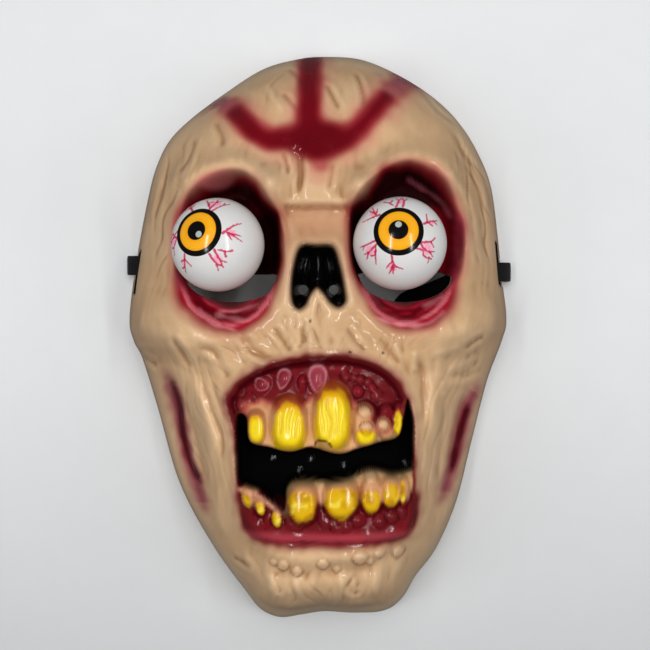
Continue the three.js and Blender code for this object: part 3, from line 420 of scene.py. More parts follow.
def fine_relief(x, y):
    """What the solids leave out: creases with a raised lip on each side, thin ridges, grooves down the front
    teeth, lumps on the gums and chin, folds in the sockets, and a shallow wandering ripple in the skin."""
    z = np.zeros_like(x)
    for rise, width, path in WRINKLES:
        far, share, _ = to_line(x, y, curve(path), reach=6 * width)
        lips = (0.45 if rise < 0 else 0) * bell((far - 2.2 * width) / width)
        z += ends(share, 0.24) * rise * (bell(far / width) - lips)
    d, _ = inset(x, y)
    mouth, gap = depth_in(x, y, MOUTH), depth_in(x, y, JAW_GAP)
    skin = ease(-mouth, 3) * ease(d, 12)
    for edge in (*SOCKETS.values(), NOSE):
        skin = skin * ease(-depth_in(x, y, edge), 3)
    bent_x, bent_y = x + 2.6 * drift(x, y, 22, 81), y + 2.6 * drift(x, y, 22, 82)
    ripple = 0.36 * drift(bent_x * 1.5, bent_y * 0.7, 14, 3) + 0.17 * drift(bent_x * 1.4, bent_y * 0.8, 7, 4)
    z += skin * ripple
    for *place, across, along, lean, depth, seed in CREASED:
        u, v = (bent_x - lean * bent_y) * across, bent_y * along
        valley = bell(drift(u, v, 11, seed) / 0.3) - 0.4
        z -= skin * depth * hill(x, y, *place) * valley
    for cx, cy, rx, ry, turn, rise in LUMPS + FOLDS:
        z += rise * (1.3 if -90 < cy < -10 else 1) * hill(x, y, cx, cy, 1.25 * rx, 1.25 * ry, turn)
    measures = [oval(x, y, *tooth, 2.6) for *tooth, _ in TEETH]
    on_tooth = sum(ease(1.1 - q, 0.2) for q in measures)
    z += sum(1.1 * np.clip(1 - q * q, 0, 1) for q in measures)
    gums = ease(mouth, 4) * ease(-gap, 2) * np.clip(1 - on_tooth, 0, 1)
    z += gums * 0.14 * drift(x, y, 9, 5)
    for groove, top, foot, deep in GROOVES:
        far = np.abs(x - groove - 0.9 * drift(x, y, 13, 49))
        z -= 0.8 * deep * bell(far / 0.8) * ease(top - y, 5) * ease(y - foot, 5)
    z -= 2.0 * ease(1.1 - oval(x, y, 2.2, -45.6, 3.8, 2.8, 2, -20), 0.3)
    z += sum(0.9 * hill(x, y, sx, sy, 2.2, 3.4) for sx, sy in SPARKS)
    lids = sum(ease(depth_in(x, y, edge) - 1, 3) for edge in SOCKETS.values()) * ease(26 - y, 8)
    z += lids * 0.16 * drift(x * 0.7, y * 1.6, 7, 7)
    return z


def ball_middle(side):
    """Middle of an eyeball, halfway between the corners of its solid's box."""
    low, high = (np.array(c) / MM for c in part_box(f"eyeball_{side}"))
    return (low + high) / 2


def outer_height(x, y):
    """Outer face with its fine relief, kept clear of the ball that rests on each dome."""
    z = face_height(x, y) + fine_relief(x, y)
    r = EYE_R + 0.1
    for side in DOMES:
        cx, cy, cz = ball_middle(side)
        away = (x - cx) ** 2 + (y - cy) ** 2
        z = np.where(away < r**2, np.minimum(z, cz - np.sqrt(np.clip(r**2 - away, 0, None))), z)
    return z


def steepness(height, x, y):
    """Slope of a height function, from its rise over 0.8 mm each way."""
    h = 0.4
    return np.hypot(height(x + h, y) - height(x - h, y), height(x, y + h) - height(x, y - h)) / (2 * h)


def add_object(name, data, place=(0, 0, 0)):
    """Object of a name and its data, linked to the scene."""
    obj = bpy.data.objects.new(name, data)
    bpy.context.scene.collection.objects.link(obj)
    obj.location = place
    return obj


def new_object(name, points, faces, smooth_angle=None):
    """Mesh object at the origin from points in millimetres."""
    mesh = bpy.data.meshes.new(name)
    mesh.from_pydata(np.asarray(points, float) * MM, [], faces)
    mesh.shade_smooth()
    if smooth_angle:
        mesh.set_sharp_from_angle(angle=np.radians(smooth_angle))
    return add_object(name, mesh)


def ring_faces(rows, columns, offset=0, turn_over=False):
    """Quads between rings of points that follow each other, each ring closed on itself."""
    r, c = np.meshgrid(np.arange(rows - 1), np.arange(columns), indexing="ij")
    a, b = r * columns + c, r * columns + (c + 1) % columns
    quads = np.stack([a, b, b + columns, a + columns], -1).reshape(-1, 4) + offset
    return quads[:, ::-1] if turn_over else quads


def fan(first, count, tip, turn_over=False):
    """Triangles from a ring of points to one point beyond it."""
    a = first + np.arange(count)
    b = np.roll(a, -1)
    return [*zip(b, a, [tip] * count)] if turn_over else [*zip(a, b, [tip] * count)]


def rings(rho, reach, angle):
    """Plan of rings about the pole."""
    far = rho[:, None] * reach
    return POLE[0] + far * np.cos(angle), POLE[1] + far * np.sin(angle)


def prism(outline, low, high):
    """Closed upright block over a plan outline, as points and faces."""
    n = len(outline)
    flat = np.array(outline, float)
    points = np.vstack([np.column_stack([flat, np.full(n, z)]) for z in (low, high)])
    sides = [(i, (i + 1) % n, n + (i + 1) % n, n + i) for i in range(n)]
    return points, [tuple(range(n))[::-1], tuple(range(n, 2 * n)), *sides]


def merged(parts):
    """Several meshes as one: their points one after another, and their faces counted on."""
    faces, count = [], 0
    for points, some in parts:
        faces += [tuple(i + count for i in face) for face in some]
        count += len(points)
    return np.vstack([points for points, _ in parts]), faces


def cutters():
    """Closed blocks that cut the eye slits, the breathing holes, the band slots and the trims of the rim."""
    made = []
    for start, end, top, low in SLITS.values():
        a = np.pi * (1 + np.arange(25) / 24)
        middle, half = (start + end) / 2, (end - start) / 2
        lower = np.column_stack([middle + half * np.cos(a), top - 2 + (top - 2 - low) * np.sin(a)])
        made.append(prism([*lower, (end - 4, top), (start + 4, top)], 20, 70))
    a = 2 * np.pi * np.arange(24) / 24
    for x, y in NOSTRILS:
        made.append(prism(np.column_stack([x + 2.2 * np.cos(a), y + 2.2 * np.sin(a)]), 38, 78))
    for side in SIDES:
        near, far = sorted((side["sign"] * 96, side["sign"] * 78))
        start, end = side["slot"]
        middle = (SLOT_LOW + SLOT_HIGH) / 2
        outline = [
            (start, SLOT_LOW - 0.8), (start + 2.6, SLOT_LOW), (end - 2.6, SLOT_LOW), (end, SLOT_LOW - 0.8),
            (end - 1.4, middle), (end, SLOT_HIGH + 0.8), (end - 2.6, SLOT_HIGH), (start + 2.6, SLOT_HIGH),
            (start, SLOT_HIGH + 0.8), (start + 1.4, middle)]
        points, faces = prism(outline, near, far)
        made.append((points[:, [2, 0, 1]], faces))
        front, back = side["y"] - 7, side["y"] + 7
        made.append(prism([(near, front), (far, front), (far, back), (near, back)], -2, 1.7))
    return merged(made)


def shell_mesh():
    """Formed sheet. Outer face: rings about the pole, closer together towards the rim, columns closer
    together towards the crown and the chin. Inner face: every third column and row of it, one sheet below
    the lowest point around, its peaks then lowered to the mean of their neighbours. A narrow flat ring joins
    the two at the rim. Then the cutters are taken away."""
    t = np.arange(1, SHELL_ROWS + 1) / SHELL_ROWS
    rho = 1.2333 * t - 0.2333 * t**4
    turn = 2 * np.pi * np.arange(SHELL_COLUMNS) / SHELL_COLUMNS
    angle = turn + 0.17 * np.sin(2 * turn)
    reach = rim_reach(angle)
    x, y = rings(rho, reach, angle)
    z = outer_height(x, y)
    z[-1] = 0
    top = outer_height(*np.reshape(POLE, (2, 1)))[0]

    padded = np.pad(z, ((2, 2), (0, 0)), "edge")
    lowest = np.min([np.roll(padded[r:r + SHELL_ROWS], c, 1) for r in range(5) for c in range(-2, 3)], 0)
    rows, columns = np.arange(SHELL_ROWS - 1, 0, -3)[::-1], np.arange(0, SHELL_COLUMNS, 3)
    ix, iy = rings(rho[rows], reach[columns] - 1.05 * SHEET, angle[columns])
    own = face_height(ix, iy)
    lowered = mix(own, np.minimum(own, lowest[np.ix_(rows, columns)]), ease(inset(ix, iy)[0] - 3, 5))
    iz = np.clip(lowered - SHEET * np.minimum(4.2, np.hypot(1, steepness(face_height, ix, iy))), 0, None)
    for _ in range(4):
        wide = np.pad(iz, ((1, 1), (0, 0)), "edge")
        iz = np.minimum(iz, (wide[:-2] + wide[2:] + np.roll(iz, 1, 1) + np.roll(iz, -1, 1)) / 4)
    iz[-1] = 0

    outer, inner = (np.stack(part, -1).reshape(-1, 3) for part in ((x, y, z), (ix, iy, iz)))
    points = np.vstack([outer, inner, [(*POLE, top), (*POLE, top - SHEET * 1.6)]])
    first_in, n, m = len(outer), SHELL_COLUMNS, len(columns)
    caps = fan(0, n, len(points) - 2) + fan(first_in, m, len(points) - 1, True)
    rim_out, rim_in, i = (SHELL_ROWS - 1) * n, first_in + (len(rows) - 1) * m, np.arange(m)
    a, b, c, d = (rim_out + (3 * i + k) % n for k in range(4))
    f, g = rim_in + i, rim_in + (i + 1) % m
    caps += [*zip(b, a, f), *zip(c, b, f), *zip(c, f, g), *zip(d, c, g)]
    quads = np.vstack([ring_faces(SHELL_ROWS, n, 0, True), ring_faces(len(rows), m, first_in)])
    faces = [tuple(map(int, face)) for face in caps] + quads.tolist()
    shell = new_object("mask", points, faces)
    cut = new_object("mask_cut", *cutters())
    trim = shell.modifiers.new("openings", "BOOLEAN")
    trim.object, trim.operation, trim.solver = cut, "DIFFERENCE", "MANIFOLD"
    ready = bpy.data.meshes.new_from_object(shell.evaluated_get(bpy.context.evaluated_depsgraph_get()))
    shell.modifiers.clear()
    shell.data = ready
    bpy.data.objects.remove(cut)
    ready.shade_smooth()
    ready.set_sharp_from_angle(angle=np.radians(68))
    return shell


def linear(colour):
    """Linear light of a colour given in 0 to 255."""
    c = np.array(colour, float) / 255
    return np.where(c > 0.04045, ((c + 0.055) / 1.055) ** 2.4, c / 12.92)


def spray(paint, colour, share):
    """Lays a colour over the paint, by the given share at each point."""
    paint += (linear(colour) - paint) * np.clip(share, 0, 1)[:, None]


def web(x, y, lines):
    """Distance to the edge of several lines run together: minus 2.5 times the logarithm of the sum of the
    exponentials of each distance over -2.5, which rounds the corners between them."""
    total = sum(np.exp((half - to_line(x, y, curve(path), reach=40)[0]) / 2.5) for half, path in lines)
    return -2.5 * np.log(total + 1e-9)


def band_of(x, y, path, half, soft, seed, wander=0.0):
    """Share of an airbrushed line: full inside its half width, easing to nothing over its soft edge."""
    far, share, _ = to_line(x, y, curve(path), reach=half + soft + 8)
    edge = half + wander * drift(x, y, 9, seed)
    return ease(edge + soft / 2 - far, soft) * np.maximum(ends(share, 0.04), 0.6)


def hollow(surface, x, y, reach, height):
    """How far a point lies below the mean of four points of a surface around it, above zero in a crease."""
    around = [surface(x + dx, y + dy) for dx, dy in ((reach, 0), (-reach, 0), (0, reach), (0, -reach))]
    return sum(around) / 4 - height


def paint_skin(lay, x, y, fine, broad):
    """Tan skin, mottled at random, browner in its creases partly as airbrush and partly as painted shade,
    paler on its ridges as painted highlight. A painted reflection of the table near the rim, paler at the
    ends of the rim, painted light on the sides of the cheeks, browner below the eyes, and painted shade on
    the nose bridge under the brow.
    """
    lay(SKIN_PALE, 0.30 * smooth(0.5 + 0.6 * drift(x, y, 34, 11)))
    lay(SKIN_DARK, 0.16 * smooth(0.3 + 0.7 * drift(x, y, 23, 12)))
    # Browner in the fine and broad creases: partly airbrushed brown, partly painted shade.
    lay(SKIN_DARK, 0.8 * ease(fine, 0.5))
    lay(SKIN_DARK, 0.45 * ease(broad, 2.4))
    # Paler on the ridges: painted highlight.
    lay(SKIN_PALE, 0.5 * ease(-fine, 0.5))
    d, _ = inset(x, y)
    # Greyer near the rim: painted reflection of the table on the steep wall.
    lay(RIM_SHEEN, 0.45 * ease(12 - d, 12))
    lay(RIM_PALE, 0.75 * ease(16 - d, 13) * ease(np.abs(y) - 70, 40))
    # Paler on the sides of the cheeks: painted light.
    lay(CHEEK_LIGHT, 0.5 * (hill(x, y, -56, -40, 24, 62) + hill(x, y, 58, -38, 24, 62)))
    lay(CHEEK_BROWN, 0.4 * (hill(x, y, -38, -4, 20, 9, 10) + hill(x, y, 30, 0, 20, 8, -10)))
    # Darker on the nose bridge under the brow ledge: painted shade.
    lay(BRIDGE_SHADE, 0.55 * hill(x, y, -0.5, 50, 20, 16) * ease(60 - y, 3))


def paint_brow_and_wounds(lay, x, y):
    """Three crimson arms on the forehead with a pink haze and mauve ends, and the cheek wounds."""
    edge = web(x, y, SPREAD) + 0.8 * drift(x, y, 12, 21)
    lay(HAZE, 0.5 * ease(9 + 2 * drift(x, y, 16, 23) - edge, 8))
    lay(GLAZE, 0.75 * ease(4.2 - edge, 5.5))
    edge = web(x, y, FULL) + 0.3 * drift(x, y, 10, 24)
    lay(RUBY, 0.85 * ease(3 - edge, 4))
    lay(CRIMSON, 0.97 * ease(1.2 - edge, 4))
    lay((84, 3, 12), 0.6 * hill(x, y, -1, 86, 26, 13))
    for half, path in MAUVE_ENDS:
        lay(MAUVE, 0.55 * band_of(x, y, path, half, 6, 22, 1.4))
    for soft, cut in WOUNDS:
        lay(BRUISE, 0.8 * band_of(x, y, soft, 4.4, 6, 25, 0.7))
        lay((136, 44, 62), 0.75 * band_of(x, y, soft, 1.8, 5, 27, 0.5))
        lay((112, 16, 34), 0.85 * band_of(x, y, cut, 2.4, 3.4, 28, 0.4))
        lay(OXBLOOD, 0.95 * band_of(x, y, cut, 1.3, 1.8, 26, 0.4))


def paint_sockets(lay, x, y, fine):
    """Crimson sockets, near black inside and darkened under the brows as painted shade, with crimson lids
    below:
    painted highlights on their ridges and crests, painted shade in their creases. A pink painted highlight at
    the upper left of the left socket and along the ridge over the right eye; then the black nose. Gives the
    matt share of each socket."""
    lids, upper, matt = ease(26 - y, 9), ease(y - 55, 7), []
    for side, outline in SOCKET_PAINT.items():
        e = depth_in(x, y, outline) + 0.3 * drift(x, y, 9, 31)
        sign = -1 if side == "left" else 1
        middle = DOMES[side][0]
        outward = ease(sign * (x - middle) + 4, 20)
        inward = ease(sign * (middle - x) + 2, 12)
        edged = ease(e - 0.5, 2)
        lay(GLAZE, (0.35 + 0.4 * outward) * ease(e + 5.5, 6.5))
        lay((128, 10, 28), 0.95 * ease(e + 2, 4.4))
        lay((176, 62, 84), 0.5 * ease(e + 1, 3) * ease(5 - e, 3) * outward * (1 - lids) * ease(60 - y, 8))
        lay(CRIMSON, 0.85 * ease(e - 1 - 3.5 * outward, 2.5) * (1 - lids))
        lay(DEEP, 0.94 * ease(e - 6.5 - 9 * lids, 5))
        # Near black under the brows: painted shade.
        lay(DEEP, 0.92 * ease(e - 1.8, 2.6) * upper)
        lay(DEEP, 0.95 * inward * ease(e - 0.5, 3) * (1 - 0.85 * lids) * ease(64 - y, 12))
        lay((158, 18, 40), 0.85 * lids * edged * ease(15 - e, 3))
        # Pink on the lid ridges and paler on their sharpest tops: painted highlights.
        lay((202, 72, 90), 0.6 * lids * edged * ease(-fine - 0.02, 0.3) * ease(12 - e, 4))
        lay((230, 140, 144), 0.4 * lids * ease(e, 2) * ease(-fine - 0.24, 0.2) * ease(9 - e, 4))
        # Darker in the lid creases: painted shade.
        lay((88, 4, 16), 0.6 * lids * ease(e - 1, 2) * ease(fine - 0.04, 0.3))
        matt.append(ease(e + 1, 3) * (1 - lids))
    # Pale lines along the lid crests: painted highlights.
    for half, path in CREST_HIGHLIGHTS:
        lay((226, 140, 148), 0.6 * band_of(x, y, path, half, 1.8, 34, 0.4))
    # Pink patch at the upper left of the left socket: painted highlight.
    lay((206, 112, 110), 0.8 * ease(1.3 - oval(x, y, -44.5, 69.5, 8.5, 3, 2, 14), 0.7))
    # Pink line along the fold over the right eye: painted highlight.
    lay((214, 110, 124), 0.6 * band_of(x, y, RIDGE, 0.5, 1.6, 33, 0.2))
    e = depth_in(x, y, NOSE)
    lay((92, 56, 34), 0.8 * ease(e + 2.6, 3))
    lay(BLACK, ease(e + 0.6, 1.6))
    return matt


def paint_gums(lay, x, y, fine, mouth):
    """Crimson gums with outlined drops, lighter on their bumps as painted highlight and darker in their
    hollows as painted shade, and pale flesh between them and the black gap.
    """
    inside = ease(mouth - 0.5, 2)
    lay((136, 56, 58), 0.6 * ease(mouth + 4.5, 4))
    lay((98, 6, 20), 0.96 * ease(mouth + 2, 2.6))
    lay((122, 8, 26), 0.5 * ease(mouth - 3, 2) * smooth(0.3 + 0.7 * drift(x, y, 12, 42)))
    lay((196, 72, 86), 0.6 * ease(mouth + 1, 2) * bell((y + 85.8) / 2.2))
    # Lighter on the gum bumps: painted highlight.
    lay((150, 34, 52), 0.2 * inside * ease(-fine - 0.05, 0.3) * ease(y + 33, 4))
    # Darker in the gum hollows: painted shade.
    lay((60, 2, 9), 0.7 * inside * ease(fine - 0.03, 0.3))
    for *place, turn, fill in DROPS:
        q = oval(x, y, *place, 2, turn, 0.3)
        lay((164, 66, 82), fill * ease(1 - q, 0.3))
        lay(OUTLINE_PINK, (0.3 + 0.5 * fill) * bell((q - 0.95) / 0.13))
    upper = mix(-27.5, -38.5, ease(x - 15, 12)) + 1.4 * drift(x, y, 7, 43)
    upper = upper + 2.5 * ease(x + 8, 6) * ease(14 - x, 5)
    lower = -67 + 1.2 * drift(x, y, 7, 44) - 3.5 * ease(x + 12, 6) * ease(20 - x, 6)
    flesh = ease(y - lower, 3.5) * inside
    lay(FLESH_PINK, 0.8 * flesh * ease(upper + 2.5 - y, 4) * ease(x + 35, 4))
    lay(FLESH, 0.95 * flesh * ease(upper - y, 4) * ease(x + 32, 4))
    for tx, ty, rx, ry, _ in TEETH:
        ring = ease(1.2 - oval(x, y, tx, ty, rx, ry, 2.4), 0.25)
        if tx < 15 and ty > -50:
            lay((206, 154, 96), 0.85 * ring * ease(ty + 0.35 * ry - y, 5))
            lay((150, 62, 30), 0.5 * ring * ease(y - ty - 0.2 * ry, 5))
        elif ty < -50:
            lay((196, 142, 98), 0.85 * ring * ease(y + 71 - 0.2 * (x < -12) * (x + 12), 4))


def paint_bumps(lay, x, y):
    """Round bumps: on those of the chin painted light on the upper edge, painted shadow on the lower edge and
    a paler painted highlight on the bump; a dark upper edge on those between the teeth.
    """
    for wx, wy, r, _ in WARTS:
        off = np.hypot(x - wx, y - wy)
        near = ease(1.15 - off / r, 0.3)
        if wy < -90:
            # Round each chin bump: lighter above and darker below as painted light and shadow, the bump paler
            # as a painted highlight.
            ring = bell((off - 1.15 * r) / 0.7)
            lay((196, 156, 116), 0.7 * ring * ease(y - wy + 1, 2))
            lay((140, 96, 66), 0.3 * ring * ease(wy - y + 1, 2))
            lay((224, 186, 148), 0.4 * near)
        if -60 < wy < -30:
            lay((196, 140, 100), 0.5 * ease(1.7 - off / r, 0.5))
            lay((216, 172, 130), 0.9 * near)
            lay((104, 50, 34), 0.6 * bell((off - 1.12 * r) / 0.45) * ease(y - wy + 1, 2))


def paint_tooth(lay, x, y, fine, q, cy, ry):
    """Yellow tooth: orange at its root, browner at its edge, darker in its grooves as painted shade, mottled
    in the lower row.
    """
    within, upper_row = ease(1.05 - q, 0.1), cy > -50
    lay((184, 96, 30), 0.6 * ease(1.36 - q, 0.36) * (ease(y - cy, ry) if upper_row else 0.5))
    lay((238, 208, 22) if upper_row else (216, 172, 14), 0.98 * ease(1.1 - q, 0.2))
    lay((222, 132, 16), 0.6 * ease(y - cy - 0.45 * ry, 0.6 * ry) * within * upper_row)
    lay((206, 146, 8), 0.5 * ease(q - 0.5, 0.5) * within)
    # Darker in the grooves: painted shade.
    lay((190, 128, 6), 0.4 * ease(fine - 0.03, 0.2) * within)
    if not upper_row:
        lay((156, 92, 10), 0.5 * ease(drift(x, y, 6.5, 47) - 0.1, 0.6) * ease(1.02 - q, 0.15))
        lay((240, 222, 84), 0.6 * ease(drift(x, y, 6, 48) - 0.5, 0.4) * ease(1.0 - q, 0.2))


def face_paint(x, y, height):
    """Colour and gloss of the painted face, in layers from the skin and the forehead down to the jaw."""
    paint, gloss = np.tile(linear(SKIN), (len(x), 1)), np.full(len(x), SATIN)
    lay = partial(spray, paint)
    fine = hollow(outer_height, x, y, 1.5, height)
    paint_skin(lay, x, y, fine, hollow(face_height, x, y, 5, height))
    paint_brow_and_wounds(lay, x, y)
    for share in paint_sockets(lay, x, y, fine):
        gloss = mix(gloss, MATT, share)

    mouth, gap = depth_in(x, y, MOUTH) + 0.5 * drift(x, y, 8, 41), depth_in(x, y, JAW_GAP)
    lumps = sum(hill(x, y, *place) for *place, _ in LUMPS)
    gloss = mix(gloss, mix(MATT, 0.9, ease(lumps - 0.3, 0.4)), ease(mouth - 0.5, 2))
    paint_gums(lay, x, y, fine, mouth)
    paint_bumps(lay, x, y)
    lay((112, 100, 70), 0.75 * ease(gap + 4.2, 4) * ease(-50 - y, 4) * ease(mouth, 2) * ease(x + 17, 4))
    lay((96, 44, 30), 0.6 * ease(gap + 2, 2) * ease(y + 52, 4) * ease(mouth, 2))
    for tooth in TOOTH_PAINT:
        q = oval(x, y, *tooth) + 0.05 * drift(x, y, 4, 45)
        gloss = mix(gloss, 0.5, ease(1.1 - q, 0.2))
        paint_tooth(lay, x, y, fine, q, tooth[1], tooth[3])
    # Pale spot between the lower teeth: painted light that lifts the shade of the valley.
    lay((232, 184, 142), 0.6 * ease(1.3 - oval(x, y, 1.5, -66.4, 1.9, 4.4), 0.7))
    q = oval(x, y, 2.2, -45.8, 3.6, 2.5, 2, -20)
    lay((206, 156, 92), 0.9 * ease(1 - q, 0.2))
    lay((52, 28, 12), 0.85 * bell((q - 1) / 0.14) * ease(y + 46.6, 1.5))
    lip = band_of(x, y, JAW_LIP, 0.9, 1.6, 46)
    dark = ease(gap + 0.7, 1.5) * ease(-28.6 - y, 3) * (1 - lip)
    dark = dark * (1 - ease(-68.5 - y, 3) * (x > -26) * (x < -8))
    lay((60, 12, 16), ease(gap + 1, 1.5) * ease(-66 - y, 3))
    lay(BLACK, dark)
    lay((206, 150, 124), 0.75 * lip)
    gloss = mix(gloss, 0, dark)
    for sx, sy in SPARKS:
        gloss = mix(gloss, 1, ease(1.8 - np.hypot(x - sx, y - sy), 0.8))
        # Grey spot on each glint: painted highlight.
        lay((120, 124, 128), 0.5 * ease(0.75 - np.hypot(x - sx, (y - sy) / 1.6), 0.5))
    for sx, sy in PITS:
        lay((60, 36, 24), 0.9 * ease(0.9 - np.hypot(x - sx, y - sy), 0.6))
    # Black round the band slots on the wall: painted shade of the slot.
    for side in SIDES:
        start, end = side["slot"]
        away = np.maximum(start - 0.6 - y, y - end - 0.6)
        away = np.maximum(away, np.maximum(SLOT_LOW - 0.9 - height, height - SLOT_HIGH - 0.9))
        beside = ease(0.7 - away, 0.7) * (x * side["sign"] > 70)
        lay(BLACK, beside)
        gloss = mix(gloss, 0.1, beside)
    return paint, gloss


def colour_by(obj, paint):
    """Stores one linear colour per point on the mesh."""
    layer = obj.data.color_attributes.new("paint", "FLOAT_COLOR", "POINT")
    layer.data.foreach_set("color", np.column_stack([paint, np.ones(len(paint))]).astype(np.float32).ravel())


def paint_shell(obj):
    """Painted outer face, plain tan plastic inside: a point is outside if it lies near the outer height."""
    flat = np.zeros(len(obj.data.vertices) * 3, np.float32)
    obj.data.vertices.foreach_get("co", flat)
    x, y, z = (flat.reshape(-1, 3).astype(float) / MM).T
    height = outer_height(x, y)
    paint, gloss = face_paint(x, y, height)
    inside = ease(height - z - 0.45, 0.3) * (z > 0.2)
    # Round the band slots the painted shade of the slot is kept, also on the inner side.
    beside = (np.abs(x) > 80) & (z > SLOT_LOW - 1) & (z < SLOT_HIGH + 1) & (y > 20) & (y < 46)
    spray(paint, PLAIN, inside * ~beside)
    colour_by(obj, paint)
    layer = obj.data.attributes.new("gloss", "FLOAT", "POINT")
    layer.data.foreach_set("value", np.clip(2 * mix(gloss, SATIN, inside), 0, 1).astype(np.float32))


shell = shell_mesh()
paint_shell(shell)

# Eyeballs: the way each iris looks and the turn of its print. Red veins, as degrees from the middle of the
# iris and degrees round it in turn. Their pink streams: middle, degrees round, width.
LOOKS = {"left": ((-0.375, 0.245, 0.894), 140.0), "right": ((-0.087, 0.231, 0.969), 0.0)}
VEINS = [
    [51, 114, 46, 108, 36, 101], [49, 101, 44, 106], [33, 96, 46, 91, 55, 95], [46, 91, 57, 86],
    [33, 81, 47, 82, 54, 86], [47, 82, 57, 78], [33, 137, 46, 154, 57, 159], [38, 140, 56, 139],
    [42, 139, 59, 132], [39, 139, 45, 129], [33, 18, 42, 21, 59, 23], [39, 22, 45, 36], [40, 20, 46, 13],
    [50, 22, 56, 16], [31, -28, 36, -22, 44, -15, 49, -7], [44, -16, 51, -21],
    [32, -30, 40, -34, 48, -31, 55, -26], [48, -31, 57, -33], [31, -45, 39, -38, 45, -43, 54, -40, 57, -44],
    [53, -38, 58, -37], [30, -107, 39, -102, 45, -107, 50, -109], [39, -102, 45, -95, 49, -84],
    [44, -100, 51, -102, 57, -104], [46, -99, 56, -98], [32, -158, 43, -160, 58, -163], [49, -161, 55, -157],
    [32, -149, 47, -148, 56, -151], [47, -148, 57, -143], [34, -148, 42, -137, 48, -141],
    [39, -140, 52, -127]]
STREAMS = [(44, 88, 7), (44, 140, 6), (45, 20, 5), (43, -30, 9), (48, -100, 7), (44, -148, 8.5)]
IRIS_EDGE, IRIS, PUPIL, GLINT = 31.4, 24.6, 11.9, 3.9
BALL_WHITE, AMBER, AMBER_PALE, INK = (214, 213, 212), (236, 158, 14), (242, 180, 44), (10, 9, 9)
VEIN_RED, STREAM_PINK, GLINT_GREY = (190, 16, 74), (246, 140, 176), (168, 176, 170)


def ball_paint(u, v, roll):
    """White ball, veins over pink streams, then the black ring, the iris, the pupil and its printed glint, by
    degrees from the middle of the iris."""
    paint = np.tile(linear(BALL_WHITE), (len(u), 1))
    lay = partial(spray, paint)
    tilts = np.hypot(u, v)
    c, s = np.cos(np.radians(roll)), np.sin(np.radians(roll))
    au, av = u * c - v * s, u * s + v * c
    for middle, at, wide in STREAMS:
        cu, cv = middle * np.cos(np.radians(at)), middle * np.sin(np.radians(at))
        q = np.hypot(au - cu, av - cv) / wide + 0.25 * drift(au, av, 6, 51)
        lay(STREAM_PINK, 0.75 * ease(1.15 - q, 0.6))
    bent_u, bent_v = au + 0.5 * drift(au, av, 5, 52), av + 0.5 * drift(au, av, 5, 53)
    for vein in VEINS:
        out, at = np.array(vein[::2]), np.radians(vein[1::2])
        line = curve(np.column_stack([out * np.cos(at), out * np.sin(at)]))
        far, share, _ = to_line(bent_u, bent_v, line, reach=4)
        lay(VEIN_RED, 0.9 * ease(mix(1.5, 1.0, share) + 0.35 - far, 0.7))
    lay(INK, smooth((IRIS_EDGE - tilts) / 0.35 + 0.5))
    lay(AMBER, smooth((IRIS - tilts) / 0.35 + 0.5))
    lay(AMBER_PALE, 0.5 * ease(24 - tilts, 3) * ease(tilts - 13, 4))
    lay(INK, smooth((PUPIL - tilts) / 0.35 + 0.5))
    lay(GLINT_GREY, smooth((GLINT - np.hypot(au, av - 6.4)) / 0.4 + 0.5))
    return paint


def eyeball(side):
    """Ball of rings about the way its iris looks: close rings over the printed front, wider ones behind."""
    look, roll = LOOKS[side]
    forward = np.array(look) / np.linalg.norm(look)
    right = np.cross((0, 1, 0), forward)
    right /= np.linalg.norm(right)
    up = np.cross(forward, right)
    tilt = np.radians(np.concatenate([np.linspace(0, 72, 211)[1:], np.linspace(72, 180, 41)[1:-1]]))
    columns, rows = 320, len(tilt)
    turn = 2 * np.pi * np.arange(columns) / columns
    out = np.sin(tilt)[:, None, None] * (np.cos(turn)[:, None] * right + np.sin(turn)[:, None] * up)
    centre = ball_middle(side)
    points = (centre + EYE_R * (out + np.cos(tilt)[:, None, None] * forward)).reshape(-1, 3)
    points = np.vstack([points, centre + EYE_R * forward, centre - EYE_R * forward])
    size = rows * columns
    caps = fan(0, columns, size) + fan(size - columns, columns, size + 1, True)
    faces = [tuple(map(int, f)) for f in caps] + ring_faces(rows, columns, 0, True).tolist()
    ball = new_object(f"eye_{side}", points, faces)
    tilts = np.append(np.repeat(np.degrees(tilt), columns), (0, 180))
    turns = np.append(np.tile(turn, rows), (0, 0))
    colour_by(ball, ball_paint(tilts * np.cos(turns), tilts * np.sin(turns), roll))
    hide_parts(f"eyeball_{side}")
    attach(ball, "root")
    return ball


balls = [eyeball(side) for side in ("left", "right")]


def ribbon(path, across=None):
    """Flat band along a path: at each point a rounded box profile, wide across the path and thin square to
    it. Gives points, faces and, per point, the way along and across in millimetres."""
    p = np.array(path, float)
    along = np.gradient(p, axis=0)
    along /= np.linalg.norm(along, axis=1)[:, None]
    level = np.column_stack([-along[:, 1], along[:, 0], np.zeros(len(p))])
    wide = level if across is None else np.tile(across, (len(p), 1))
    wide = wide / np.linalg.norm(wide, axis=1)[:, None]
    up = np.cross(along, wide)
    spin = 20
    a = 2 * np.pi * (np.arange(spin) + 0.5) / spin
    fold = lambda v, power: np.sign(v) * np.abs(v) ** power
    w, t = fold(np.cos(a), 0.35) * BAND_WIDTH / 2, fold(np.sin(a), 0.55) * BAND_THICK / 2
    body = (p[:, None] + wide[:, None] * w[:, None] + up[:, None] * t[:, None]).reshape(-1, 3)
    uv = np.column_stack([np.repeat(travelled(p), spin), np.tile(w, len(p))])
    end = (len(p) - 1) * spin
    ends = [tuple(range(spin))[::-1], tuple(range(end, end + spin))]
    return body, ring_faces(len(p), spin).tolist() + ends, uv


def travelled(line):
    """Way along a line at each of its points."""
    return np.concatenate([[0], np.cumsum(np.linalg.norm(np.diff(line, axis=0), axis=1))])


def resample(path, step):
    """Even steps of about the given length along a smooth line through the path."""
    line = curve(path, steps=10, axes=3)
    travel = travelled(line)
    at = np.linspace(0, travel[-1], max(3, int(travel[-1] / step)))
    return np.column_stack([np.interp(at, travel, line[:, k]) for k in range(3)])


